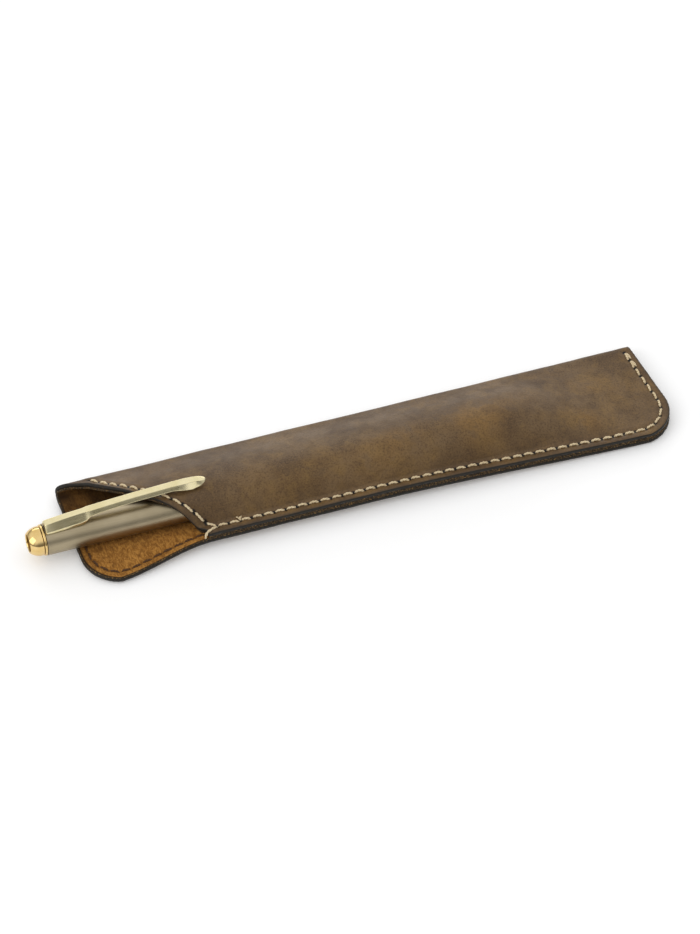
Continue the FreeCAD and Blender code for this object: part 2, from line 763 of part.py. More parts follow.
def converter_pieces():
    s = size
    mouth = s.nipple_radius + s.fit
    tube = turned("converter_tube", [
        (s.converter_start, mouth), (s.converter_start, s.converter_radius),
        (s.converter_end, s.converter_radius), (s.converter_end, s.converter_bore),
        (s.nipple_end + 0.4, s.converter_bore), (s.nipple_end + 0.4, mouth),
    ])
    bands = []
    for label, start, end in (
            ("converter_collar", s.converter_start - 0.3, s.converter_start + 9.0),
            ("converter_housing", s.converter_end - 4.0, s.knob_start - 0.3)):
        bands.append(turned(label, [
            (start, s.converter_radius + 0.05), (start, s.sleeve_radius),
            (end, s.sleeve_radius), (end, s.converter_radius + 0.05),
        ]))
    groove = s.piston_start + 1.0
    piston = turned("converter_piston", [
        (s.piston_start, 0), (s.piston_start, s.converter_bore - 0.1),
        (groove, s.converter_bore - 0.1), (groove, s.rod_radius),
        (groove + 1.0, s.rod_radius), (groove + 1.0, s.converter_bore - 0.1),
        (s.piston_end, s.converter_bore - 0.1), (s.piston_end, 0),
    ])
    seal = turned("piston_seal", [
        (groove + 0.05, s.rod_radius + 0.03), (groove + 0.05, s.converter_bore - 0.03),
        (groove + 0.95, s.converter_bore - 0.03), (groove + 0.95, s.rod_radius + 0.03),
    ])
    rod = turned("piston_rod", [
        (s.piston_end + 0.02, s.spindle_radius + s.fit), (s.piston_end + 0.02, s.rod_radius),
        (s.rod_end, s.rod_radius), (s.rod_end, s.spindle_radius + s.fit),
    ])
    knob = turned("converter_knob", [
        (s.spindle_start, 0), (s.spindle_start, s.spindle_radius),
        (s.rod_end + 2.5, s.spindle_radius), (s.rod_end + 2.5, s.converter_radius - s.fit),
        (s.knob_start, s.converter_radius - s.fit), (s.knob_start, s.sleeve_radius),
        (s.knob_end, s.sleeve_radius), (s.knob_end, 0),
    ])
    return [tube, *bands, piston, seal, rod, knob]


# ---------------------------------------------------------------- assembly

def sleeve_pieces():
    leather = number("leather")
    outline = plan_outline()
    mouth = boolean("Part::Common", "mouth_cut", above_back_panel(), mouth_region())
    outer = trimmed("outer_leather", folded_sheet(0.0, leather), outline, mouth)
    lining = trimmed("suede_lining", folded_sheet(leather + number("glue"), WALL), outline, mouth)
    return [outer, lining]


def check_document():
    for item in doc.Objects:
        if "Invalid" in item.State or "Error" in item.State:
            raise RuntimeError(f"{item.Name} failed: {item.State}")


def main():
    nodes = sleeve_pieces() + thread_nodes() + cap_pieces() + [clip_piece()]
    nodes += barrel_pieces() + section_pieces() + converter_pieces()
    doc.recompute()
    check_document()
    os.makedirs("parts", exist_ok=True)
    for node in nodes:
        shape = node.Shape
        if shape.isNull() or not shape.isValid() or not shape.Solids:
            raise RuntimeError(f"{node.Label} has no valid solid")
        shape.exportStep(f"parts/{node.Label}.step")
        box = shape.BoundBox
        spans = [f"{low:.2f}..{high:.2f}" for low, high in (
            (box.XMin, box.XMax), (box.YMin, box.YMax), (box.ZMin, box.ZMax))]
        print(node.Label, len(shape.Solids), *spans, f"{shape.Volume:.1f}")


main()
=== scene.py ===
"""Looks of the slim fountain pen in its stitched leather sleeve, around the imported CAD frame."""

import math
import random

import bmesh
import bpy
import numpy as np
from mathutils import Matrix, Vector


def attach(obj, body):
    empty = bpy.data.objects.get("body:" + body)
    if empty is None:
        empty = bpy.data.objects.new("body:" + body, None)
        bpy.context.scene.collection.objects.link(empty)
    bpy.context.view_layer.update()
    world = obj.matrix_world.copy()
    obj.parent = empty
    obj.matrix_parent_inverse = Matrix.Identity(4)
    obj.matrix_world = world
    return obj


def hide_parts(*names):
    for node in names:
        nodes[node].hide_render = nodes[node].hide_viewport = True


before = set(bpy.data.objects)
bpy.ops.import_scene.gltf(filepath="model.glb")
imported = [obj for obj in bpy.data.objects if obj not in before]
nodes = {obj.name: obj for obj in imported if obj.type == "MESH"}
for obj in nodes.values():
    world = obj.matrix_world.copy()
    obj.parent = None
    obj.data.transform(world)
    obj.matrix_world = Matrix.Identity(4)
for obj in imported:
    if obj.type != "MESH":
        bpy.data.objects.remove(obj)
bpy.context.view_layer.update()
MM = 0.001

# ---------------- sizes, millimetres
# Sleeve coordinates: x from the lip to the closed end, y from the seam to the fold, z up.

CASE_LENGTH, CASE_WIDTH, LIP_FLARE, CORNER = 160.0, 32.2, 3.2, 10.0
END_SLANT, CORNER_GAIN = math.radians(8.2), 1.3
FLAP_FOOT, FLAP_HEAD, FLAP_BOW, FOOT_ROUND = (32.4, 3.0), (3.5, 33.0), 85.0, 0.6
LEATHER, SUEDE, GLUE = 1.0, 0.55, 0.03
WALL = LEATHER + GLUE + SUEDE
MOUTH_SLOT, SLOT = 1.2, 0.06
SEAM = 2.0 * WALL + SLOT
SEAM_MARGIN, SEAM_INSET = 3.2, 1.25
LIP_LIFT, SEAM_LIFT, END_LIFT = 0.5, 2.2, 0.25
BULGE_TOP, FOLD_Y, FOLD_Z = 12.4, 30.3, 3.5
FOLD_RADIUS, END_FOLD_RADIUS = 2.8, 1.75
LIP_SPAN, TAIL_SPAN, EDGE_SPAN = (5.0, 34.0), (112.0, 150.0), (78.0, 160.0)
PEN_Y, PEN_Z = 12.3, 6.05
PEN_REACH = 12.5
MIDDLE_X = 0.5 * (CASE_LENGTH - PEN_REACH)
MIDDLE_Y = 0.5 * (CASE_WIDTH - LIP_FLARE)
EDGE_ROUND, EDGE_NICKS, SUEDE_ROUND, SUEDE_FUZZ = 0.2, 0.025, 0.08, 0.07
STITCH_PITCH, STITCH_INSET, FLAP_INSET = 3.05, 2.2, 1.8
# Where the seam's and the flap's rows meet, and where the rows of stitches end.
JUNCTION, TOP_INSET = (35.3, 3.4), 1.2
FLAP_ROW, LIP_ROW_START, LIP_ROW_END = (4.6, 30.6), 32.0, 26.3
# A thread's radius, and the share of a stitch that is hidden at each of its two holes.
THREAD, STITCH_GAP = 0.33, 0.1

# Warm patches of the leather: x, y, half-length, half-width, lean, strength, on the upper face.
WARM_PATCHES = [
    (84.0, 10.5, 13.0, 5.5, 0.3, 0.75, True), (108.0, 12.0, 7.0, 7.5, 0.9, 1.0, True),
    (120.0, 16.0, 9.0, 4.0, 0.2, 0.55, True), (137.0, 8.5, 4.0, 5.0, 1.2, 0.9, True),
    (143.0, 20.5, 8.0, 2.6, -0.2, 0.9, True), (60.0, 9.0, 12.0, 4.0, 0.2, 0.5, True),
    (47.0, 13.0, 7.0, 6.0, 0.6, 0.4, True), (98.0, 25.0, 8.0, 3.0, 0.1, 0.55, True),
    (70.0, 28.0, 14.0, 2.0, 0.0, 0.35, True), (130.0, 27.0, 12.0, 2.5, 0.1, 0.4, True),
    (25.0, 24.0, 9.0, 5.0, 0.4, 0.5, True), (40.0, 10.0, 16.0, 6.0, 0.3, 0.7, False),
    (90.0, 18.0, 14.0, 7.0, -0.4, 0.8, False), (132.0, 9.0, 12.0, 5.0, 0.5, 0.7, False),
]

# Grid of the sleeve: columns, spacing of the sections, rows that the mouth's far corner takes,
# and the stations that the search for a row's two ends starts from.
COLUMNS, STATION_STEP, CORNER_ROWS = 440, 0.4, 11
FIRST_GUESS = (10.0, 150.0)


# ---------------- sleeve sections

def ease(value, start, end):
    """Smooth change from 0 at start to 1 at end."""
    share = np.clip((value - start) / (end - start), 0.0, 1.0)
    return share * share * (3.0 - 2.0 * share)


def mix(lip, middle, end, at, falls=TAIL_SPAN):
    """A size that changes from the lip to the pen's stretch to the flat end."""
    at_lip = 1.0 - ease(at, *LIP_SPAN)
    at_end = ease(at, *falls)
    return lip * at_lip + end * at_end + middle * (1.0 - at_lip) * (1.0 - at_end)


def seam_edge(at):
    """Plan line of the seam's cut edges."""
    return mix(-LIP_FLARE, SEAM_INSET, 0.0, at, EDGE_SPAN)


def unit(vectors):
    return vectors / np.linalg.norm(vectors, axis=1)[:, None]


def lengths(path):
    """Distance along a path to each of its points."""
    steps = np.linalg.norm(np.diff(path, axis=0), axis=1)
    return np.concatenate([[0.0], np.cumsum(steps)])


def bezier(poles, count):
    """Points along a cubic curve, the last one left out."""
    u = (np.arange(count) / count)[:, None]
    weights = ((1 - u) ** 3, 3 * u * (1 - u) ** 2, 3 * u * u * (1 - u), u ** 3)
    return sum(w * np.array(p) for w, p in zip(weights, poles))


def straight(first, last, height, count=12):
    """Points along a level line, spaced as a cubic curve spaces them."""
    poles = [(first * (1.0 - share) + last * share, height) for share in (0.0, 0.33, 0.67, 1.0)]
    return bezier(poles, count)


def outer_outline(at):
    """Outer face of the folded leather, from the back seam edge round to the front one."""
    low = mix(LIP_LIFT, SEAM_LIFT, END_LIFT, at, EDGE_SPAN)
    floor = mix(0.0, 0.0, END_LIFT, at)
    top = mix(BULGE_TOP, BULGE_TOP, END_LIFT + SEAM, at)
    fold = mix(FOLD_Y, FOLD_Y, CASE_WIDTH, at)
    radius = mix(FOLD_RADIUS, FOLD_RADIUS, END_FOLD_RADIUS, at)
    fold_z = mix(FOLD_Z, FOLD_Z, END_LIFT + 0.5 * SEAM, at)
    gap = mix(MOUTH_SLOT, SLOT, SLOT, at)
    edge = seam_edge(at) + EDGE_ROUND
    flat = edge + SEAM_MARGIN - EDGE_ROUND
    bend = fold - radius
    half = PEN_Y - flat
    far = bend - PEN_Y
    lean = math.atan2(top - fold_z - radius, 0.9 * far)
    turn = math.pi - lean
    under = fold_z - radius
    high = low + 2.0 * WALL + gap

    def on_fold(angle):
        return np.stack([bend + radius * np.cos(angle), fold_z + radius * np.sin(angle)], -1)

    head = on_fold(np.array(turn - 0.5 * math.pi))
    reach = head[0] - PEN_Y
    runs = [
        straight(edge, flat, low),
        bezier([(flat, low), (flat + 0.45 * half, low),
                (PEN_Y - 0.45 * half, floor), (PEN_Y, floor)], 20),
        bezier([(PEN_Y, floor), (PEN_Y + 0.55 * far, floor),
                (bend - 0.35 * far, under), (bend, under)], 20),
        on_fold(-0.5 * math.pi + turn * np.arange(24) / 24),
        bezier([head, (head[0] - 0.4 * reach * math.cos(lean),
                       head[1] + 0.4 * reach * math.sin(lean)),
                (PEN_Y + 0.38 * reach, top), (PEN_Y, top)], 24),
        bezier([(PEN_Y, top), (PEN_Y - 0.68 * half, top),
                (flat + 0.12 * half, high), (flat, high)], 24),
        straight(flat, edge, high),
        np.array([(edge, high)]),
    ]
    return np.concatenate(runs)


def row_shares():
    """Where the rows of the grid lie along a section, closer together by the two seam edges."""
    outline = outer_outline(0.5 * CASE_LENGTH)
    whole = lengths(outline)[-1]
    near = CORNER * (1.0 - np.cos(np.linspace(0.0, 0.5 * math.pi, 30)))
    count = int((whole - 2.0 * CORNER) / 0.5)
    middle = np.linspace(CORNER, whole - CORNER, count)[1:-1]
    return np.concatenate([near, middle, whole - near[::-1]]) / whole


STATIONS = np.arange(-1.0, CASE_LENGTH + 4.0, STATION_STEP)
SHARES = row_shares()


def section_rows(at):
    """Outer face of one section at the grid's rows, with the outward normal: y, z, ny, nz."""
    outline = outer_outline(at)
    length = lengths(outline)
    length /= length[-1]
    run = unit(np.gradient(outline, length, axis=0))
    y, z = (np.interp(SHARES, length, outline[:, k]) for k in (0, 1))
    ny, nz = np.interp(SHARES, length, run[:, 1]), np.interp(SHARES, length, -run[:, 0])
    size = np.hypot(ny, nz)
    return y, z, ny / size, nz / size


SECTIONS = np.array([section_rows(at) for at in STATIONS])
ROWS = len(SHARES)
FOLD_ROW = int(np.argmax(SECTIONS[len(STATIONS) // 2, 0]))


def at_row(part, row, x):
    """One of y, z, ny, nz of a row at the stations x."""
    return np.interp(x, STATIONS, SECTIONS[:, part, row])


# ---------------- plan limits of the sleeve

def lip_limit(y):
    """The back panel's end at the lip, with its round corner."""
    below = np.clip(CORNER - LIP_FLARE - y, 0.0, CORNER)
    return CORNER - np.sqrt(CORNER ** 2 - below ** 2)


def bow_centre():
    """Centre of the arc that the flap is cut along."""
    half = 0.5 * math.dist(FLAP_FOOT, FLAP_HEAD)
    rise = math.sqrt(FLAP_BOW ** 2 - half ** 2) / (2.0 * half)
    return (0.5 * (FLAP_FOOT[0] + FLAP_HEAD[0]) + rise * (FLAP_HEAD[1] - FLAP_FOOT[1]),
            0.5 * (FLAP_FOOT[1] + FLAP_HEAD[1]) + rise * (FLAP_FOOT[0] - FLAP_HEAD[0]))


BOW_X, BOW_Y = bow_centre()
END_X = CASE_LENGTH + CORNER_GAIN
END_CENTRE = END_X - CORNER * math.tan(END_SLANT) - CORNER / math.cos(END_SLANT)


def flap_bow(y, back=0.0):
    """The arc of the flap's diagonal edge, or an arc that far inside it."""
    return BOW_X - np.sqrt((FLAP_BOW - back) ** 2 - (y - BOW_Y) ** 2)


def flap_limit(y):
    """The flap's edge: the arc, and a short straight foot square to the seam."""
    over = np.clip(flap_bow(y) - FLAP_FOOT[0] + FOOT_ROUND, 0.0, None)
    return flap_bow(y) - over ** 2 / (over + FOOT_ROUND)


def end_limit(y):
    """The closed end: a slanted edge with a round corner by the seam."""
    below = np.clip(CORNER - y, -CORNER * math.sin(END_SLANT), CORNER)
    on_arc = END_CENTRE + np.sqrt(CORNER ** 2 - below ** 2)
    on_line = END_X - y * math.tan(END_SLANT)
    return np.where(y < CORNER * (1.0 + math.sin(END_SLANT)), on_arc, on_line)


def row_limits(row):
    """First and last station of one row of the grid."""
    front = ease(row, FOLD_ROW, FOLD_ROW + CORNER_ROWS)
    left, right = FIRST_GUESS
    for _ in range(40):
        y = at_row(0, row, left)
        left = (1.0 - front) * lip_limit(y) + front * flap_limit(y) + EDGE_ROUND
        right = end_limit(at_row(0, row, right)) - EDGE_ROUND
    return left, right


def sleeve_grid():
    """Plan stations of the whole grid, and its outer face with normals."""
    share = np.linspace(0.0, 1.0, COLUMNS)
    grid = np.zeros((ROWS, COLUMNS, 3))
    normal = np.zeros((ROWS, COLUMNS, 3))
    for row in range(ROWS):
        left, right = row_limits(row)
        x = left + (right - left) * share
        grid[row, :, 0] = x
        grid[row, :, 1], grid[row, :, 2] = at_row(0, row, x), at_row(1, row, x)
        normal[row, :, 1], normal[row, :, 2] = at_row(2, row, x), at_row(3, row, x)
    return grid, normal


# ---------------- stitch lines

def along(path, pitch):
    """Points a pitch apart along a path of plan points."""
    path = np.array(path, float)
    length = lengths(path)
    marks = np.arange(0.0, length[-1], pitch)
    return np.stack([np.interp(marks, length, path[:, k]) for k in (0, 1)], -1)


def seam_path():
    """Stitch line along the seam, round the closed corner and up the slanted end."""
    path = [(at, seam_edge(at) + STITCH_INSET) for at in np.arange(JUNCTION[0], END_CENTRE, 1.0)]
    for angle in np.linspace(-0.5 * math.pi, END_SLANT, 13):
        reach = CORNER - STITCH_INSET
        path.append((END_CENTRE + reach * math.cos(angle), CORNER + reach * math.sin(angle)))
    top = CASE_WIDTH - TOP_INSET
    path.append((path[-1][0] - (top - path[-1][1]) * math.tan(END_SLANT), top))
    return path


def flap_path():
    """Stitch line just inside the flap's bowed edge, from the seam to the fold."""
    bowed = [(flap_bow(y, FLAP_INSET), y) for y in np.linspace(*FLAP_ROW, 30)]
    return [JUNCTION] + bowed


def lip_path():
    """Stitch line round the lip, from beside the seam to the fold."""
    path = [(at, seam_edge(at) + STITCH_INSET) for at in np.arange(LIP_ROW_START, CORNER, -2.0)]
    for angle in np.linspace(-0.5 * math.pi, -math.pi, 9):
        reach = CORNER - STITCH_INSET
        path.append((CORNER + reach * math.cos(angle),
                     CORNER - LIP_FLARE + reach * math.sin(angle)))
    path.append((STITCH_INSET, LIP_ROW_END))
    return path


SEAM_MARKS = along(seam_path(), STITCH_PITCH)
FLAP_MARKS = along(flap_path(), STITCH_PITCH)
LIP_MARKS = along(lip_path(), STITCH_PITCH)


def plan_distance(points, marks):
    """Distance in plan from each point to the nearest mark, and to the line through them."""
    to_mark = np.full(len(points), np.inf)
    to_line = np.full(len(points), np.inf)
    for first, second in zip(marks, marks[1:]):
        run = second - first
        share = np.clip((points - first) @ run / (run @ run), 0.0, 1.0)
        line = np.linalg.norm(points - first - share[:, None] * run, axis=1)
        to_line = np.minimum(to_line, line)
        to_mark = np.minimum(to_mark, np.linalg.norm(points - first, axis=1))
    to_mark = np.minimum(to_mark, np.linalg.norm(points - marks[-1], axis=1))
    return to_mark, to_line


# ---------------- relief of the surfaces

def make_waves(seed, count, shortest, longest):
    """A sum of plane waves that stands for slow natural unevenness."""
    rng = random.Random(seed)
    waves = []
    for _ in range(count):
        length = rng.uniform(shortest, longest)
        angle = rng.uniform(0.0, math.pi)
        pull = 2.0 * math.pi / length
        waves.append((pull * math.cos(angle), pull * math.sin(angle), rng.uniform(0.0, 6.3)))
    return waves


def wave_height(waves, x, y):
    """Between about -1 and 1."""
    total = sum(np.sin(kx * x + ky * y + phase) for kx, ky, phase in waves)
    return total / math.sqrt(len(waves)) / 1.6


SLOW_WAVES = make_waves(3, 9, 18.0, 60.0)
QUICK_WAVES = make_waves(4, 12, 4.0, 11.0)

SLOW_RELIEF, QUICK_RELIEF = 0.07, 0.022

# How far a hole, a row's groove and the puffed leather beside it reach, and the puff's height.
HOLE_REACH, GROOVE_REACH, PUFF_AT, PUFF_REACH, PUFF = 0.5, 0.75, 1.5, 0.55, 0.07
# Depths of the groove and of its holes.
LEATHER_GROOVE, SUEDE_GROOVE = (0.10, 0.30), (0.26, 0.2)


def stitched_relief(points, marks, groove, hole):
    """How far a stitched face is drawn down, and how close each point is to a hole."""
    to_mark, to_line = plan_distance(points, marks)
    holes = np.exp(-(to_mark / HOLE_REACH) ** 2)
    down = groove * np.exp(-(to_line / GROOVE_REACH) ** 2) + hole * holes
    puffed = PUFF * np.exp(-((to_line - PUFF_AT) / PUFF_REACH) ** 2)
    return puffed - down, holes


def warm_patches(grid):
    """Where the wax has been pulled and the leather shows its lighter, warmer tone."""
    x, y = grid[..., 0], grid[..., 1]
    total = np.zeros_like(x)
    front = (np.arange(ROWS) > FOLD_ROW)[:, None]
    for at, across, long, short, lean, strength, upper in WARM_PATCHES:
        run = (x - at) * math.cos(lean) + (y - across) * math.sin(lean)
        side = (y - across) * math.cos(lean) - (x - at) * math.sin(lean)
        patch = strength * np.exp(-(run / long) ** 2 - (side / short) ** 2)
        total += np.where(front == upper, patch, 0.0)
    return total


def suede_painted_shade(grid):
    """Painted shade on the suede inside the pouch: darker in the fold, on the underside of the
    front panel and under the pen's overhang.
    """
    y = grid[..., 1]
    front = (np.arange(ROWS) > FOLD_ROW)[:, None]
    mottle = 0.12 * wave_height(QUICK_WAVES, grid[..., 0], y)
    fold_shade = ease(y, 16.0, 25.0) * 0.85 + mottle * ease(y, 12.0, 20.0)
    # Painted shadow under the pen's overhang, deeper further into the sleeve.
    pen_shadow = ease(grid[..., 0], 3.0, 22.0) * ease(y, 9.0, 14.0) * 0.85
    # The front panel's underside gets an even painted shade of 0.75.
    return np.clip(np.where(front, 0.75, np.maximum(fold_shade, pen_shadow)), 0.0, 1.0)


def leather_relief(grid):
    """Displacement along the normal of the leather's outer face, and the holes in it."""
    flat = grid.reshape(-1, 3)
    x, y = flat[:, 0], flat[:, 1]
    front = np.repeat(np.arange(ROWS) > FOLD_ROW, COLUMNS)
    relief = SLOW_RELIEF * wave_height(SLOW_WAVES, x, y)
    relief += QUICK_RELIEF * wave_height(QUICK_WAVES, x, y)
    holes = np.zeros(len(flat))
    for marks, side in ((SEAM_MARKS, front), (FLAP_MARKS, front),
                        (SEAM_MARKS, ~front), (LIP_MARKS, ~front)):
        drawn, near = stitched_relief(flat[side][:, :2], marks, *LEATHER_GROOVE)
        relief[side] += drawn
        holes[side] = np.maximum(holes[side], near)
    return relief.reshape(ROWS, COLUMNS), holes.reshape(ROWS, COLUMNS)


def suede_relief(grid):
    """Displacement of the suede's inner face, sunk along the lip's stitch line."""
    flat = grid.reshape(-1, 3)
    back = np.repeat(np.arange(ROWS) <= FOLD_ROW, COLUMNS)
    relief = np.zeros(len(flat))
    holes = np.zeros(len(flat))
    drawn, near = stitched_relief(flat[back][:, :2], LIP_MARKS, *SUEDE_GROOVE)
    relief[back] = drawn
    holes[back] = near
    return relief.reshape(ROWS, COLUMNS), holes.reshape(ROWS, COLUMNS)


# ---------------- meshes

def link(name, mesh, body, slot, *replaced):
    """Put a mesh in the scene, on its body, in place of CAD nodes."""
    piece = bpy.data.objects.new(name, mesh)
    bpy.context.scene.collection.objects.link(piece)
    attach(piece, body)
    if replaced:
        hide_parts(*replaced)
    return piece


def make_mesh(name, vertices, faces, smooth=True):
    mesh = bpy.data.meshes.new(name)
    mesh.from_pydata([tuple(v) for v in vertices], [], [tuple(f) for f in faces])
    mesh.polygons.foreach_set("use_smooth", [smooth] * len(mesh.polygons))
    mesh.update()
    return mesh


def to_world(points):
    """Sleeve millimetres to the row frame, metres."""
    return (np.asarray(points) - (MIDDLE_X, MIDDLE_Y, 0.0)) * MM


def paint(mesh, name, *grids):
    """A number per vertex that the material reads: the grids in turn, and 0 on the cut edge."""
    values = np.zeros(len(mesh.vertices), np.float32)
    given = np.concatenate([grid.ravel() for grid in grids])
    values[:len(given)] = given
    mesh.attributes.new(name, "FLOAT", "POINT").data.foreach_set("value", values)


def band(first, second):
    """The faces between two rings of vertices."""
    return np.stack([first, second, np.roll(second, -1), np.roll(first, -1)], -1)


def boundary_loop(rows, columns):
    """Grid indices round the edge of a grid, in order."""
    loop = [(0, c) for c in range(columns - 1)]
    loop += [(r, columns - 1) for r in range(rows - 1)]
    loop += [(rows - 1, c) for c in range(columns - 1, 0, -1)]
    loop += [(r, 0) for r in range(rows - 1, 0, -1)]
    return loop


def outward(grid, loop):
    """Directions that point away from the sheet at each place on its edge, in its surface."""
    ring = np.array([grid[r, c] for r, c in loop])
    along_edge = unit(np.roll(ring, -1, axis=0) - np.roll(ring, 1, axis=0))
    inner = []
    for r, c in loop:
        inner.append(grid[min(max(r, 2), ROWS - 3), min(max(c, 2), COLUMNS - 3)])
    away = ring - np.array(inner)
    away -= along_edge * np.sum(away * along_edge, axis=1)[:, None]
    return away / np.maximum(np.linalg.norm(away, axis=1), 1e-9)[:, None]


def sheet_shell(name, top, bottom, bulge, ragged, rings=6):
    """A closed sheet between two grids; its rounded cut edge has the second material."""
    rows, columns = top.shape[:2]
    count = rows * columns
    loop = boundary_loop(rows, columns)
    ring_top = np.array([top[r, c] for r, c in loop])
    ring_bottom = np.array([bottom[r, c] for r, c in loop])
    away = outward(top, loop)
    vertices = [top.reshape(-1, 3), bottom.reshape(-1, 3)]
    rng = np.random.default_rng(len(name))
    for ring in range(1, rings + 1):
        share = ring / (rings + 1)
        swell = bulge * (1.0 - abs(2.0 * share - 1.0) ** 3)
        rough = ragged * rng.normal(0.0, 1.0, len(loop))
        middle = ring_top * (1.0 - share) + ring_bottom * share
        vertices.append(middle + away * (swell + rough)[:, None])
    vertices = np.concatenate(vertices)
    index = np.arange(count).reshape(rows, columns)
    quads = np.stack([index[:-1, :-1], index[:-1, 1:], index[1:, 1:], index[1:, :-1]], -1)
    upper = quads.reshape(-1, 4)
    lower = upper[:, ::-1] + count
    faces = [upper, lower]
    size = len(loop)
    bands = [np.array([r * columns + c for r, c in loop])]
    bands += [2 * count + size * k + np.arange(size) for k in range(rings)]
    bands.append(bands[0] + count)
    faces += [band(first, second) for first, second in zip(bands, bands[1:])]
    mesh = make_mesh(name, to_world(vertices), np.concatenate(faces)[:, ::-1])
    edge_faces = np.zeros(len(mesh.polygons), np.int32)
    edge_faces[2 * len(upper):] = 1
    mesh.polygons.foreach_set("material_index", edge_faces)
    return mesh


def flat_margin(grid):
    """Distance of each grid point from the nearest cut edge, along the grid."""
    rows = np.linalg.norm(np.diff(grid, axis=0), axis=2)
    columns = np.linalg.norm(np.diff(grid, axis=1), axis=2)
    from_back = np.concatenate([np.zeros((1, COLUMNS)), np.cumsum(rows, axis=0)])
    from_lip = np.concatenate([np.zeros((ROWS, 1)), np.cumsum(columns, axis=1)], axis=1)
    seam = np.minimum(from_back, from_back[-1] - from_back)
    ends = np.minimum(from_lip, from_lip[:, -1:] - from_lip)
    return np.minimum(seam, ends)


# ---------------- shader helpers

class Look:
    """A material with a Principled shader and short names for the nodes it uses."""

    def __init__(self, name, **settings):
        self.material = bpy.data.materials.new(name)
        self.material.use_nodes = True
        self.tree = self.material.node_tree
        self.shader = self.tree.nodes["Principled BSDF"]
        self.links = self.tree.links
        for socket, value in settings.items():
            self.set(socket, value)
        coordinates = self.node("ShaderNodeTexCoord")
        scale = self.node("ShaderNodeMapping")
        scale.inputs["Scale"].default_value = (1000.0, 1000.0, 1000.0)
        self.links.new(coordinates.outputs["Object"], scale.inputs["Vector"])
        self.place = scale.outputs["Vector"]

    def node(self, kind, **settings):
        node = self.tree.nodes.new(kind)
        for key, value in settings.items():
            setattr(node, key, value)
        return node

    def set(self, socket, value):
        name = socket.replace("_", " ")
        target = next(s for s in self.shader.inputs if s.name.lower() == name.lower())
        self.feed(target, value)

    def feed(self, socket, value):
        if isinstance(value, bpy.types.NodeSocket):
            self.links.new(value, socket)
        elif isinstance(value, tuple):
            socket.default_value = (*value, 1.0)
        else:
            socket.default_value = value

    def stretched(self, x, y, z):
        mapping = self.node("ShaderNodeMapping")
        mapping.inputs["Scale"].default_value = (x, y, z)
        self.links.new(self.place, mapping.inputs["Vector"])
        return mapping.outputs["Vector"]

    def noise(self, size, detail=3.0, rough=0.5, warp=0.0, place=None, seed=0.0):
        """Noise with features about size millimetres across."""
        node = self.node("ShaderNodeTexNoise", noise_dimensions="4D")
        node.inputs["W"].default_value = seed
        node.inputs["Scale"].default_value = 1.0 / size
        node.inputs["Detail"].default_value = detail
        node.inputs["Roughness"].default_value = rough
        node.inputs["Distortion"].default_value = warp
        self.links.new(place or self.place, node.inputs["Vector"])
        return node.outputs["Fac"]

    def cells(self, size):
        node = self.node("ShaderNodeTexVoronoi", feature="SMOOTH_F1")
        node.inputs["Scale"].default_value = 1.0 / size
        self.links.new(self.place, node.inputs["Vector"])
        return node.outputs["Distance"]

    def spread(self, value, low, high, new_low=0.0, new_high=1.0):
        node = self.node("ShaderNodeMapRange", interpolation_type="SMOOTHSTEP")
        self.links.new(value, node.inputs["Value"])
        for socket, number in zip(("From Min", "From Max", "To Min", "To Max"),
                                  (low, high, new_low, new_high)):
            node.inputs[socket].default_value = number
        return node.outputs["Result"]

    def maths(self, operation, first, second):
        node = self.node("ShaderNodeMath", operation=operation)
        self.feed(node.inputs[0], first)
        self.feed(node.inputs[1], second)
        return node.outputs["Value"]

    def blend(self, factor, first, second):
        node = self.node("ShaderNodeMix", data_type="RGBA")
        self.feed(node.inputs["Factor"], factor)
        self.feed(node.inputs[6], first)
        self.feed(node.inputs[7], second)
        return node.outputs[2]

    def attribute(self, name):
        node = self.node("ShaderNodeAttribute", attribute_name=name)
        return node.outputs["Fac"]

    def finish(self, base, normal, rough=None):
        """Feed the shader's colour, normal and roughness, and give the material."""
        self.set("base color", base)
        self.set("normal", normal)
        if rough is not None:
            self.set("roughness", rough)
        return self.material

    def bump(self, height, depth, normal=None):
        """Relief of that many millimetres from black to white."""
        node = self.node("ShaderNodeBump")
        node.inputs["Strength"].default_value = 1.0
        node.inputs["Distance"].default_value = depth * MM
        self.links.new(height, node.inputs["Height"])
        if normal is not None:
            self.links.new(normal, node.inputs["Normal"])
        return node.outputs["Normal"]


def tone(red, green, blue):
    """A display colour, 0 to 255, as the linear light the shader works in."""
    return tuple(
        c / 12.92 if c <= 0.04045 else ((c + 0.055) / 1.055) ** 2.4
        for c in (red / 255.0, green / 255.0, blue / 255.0)
    )


# ---------------- materials

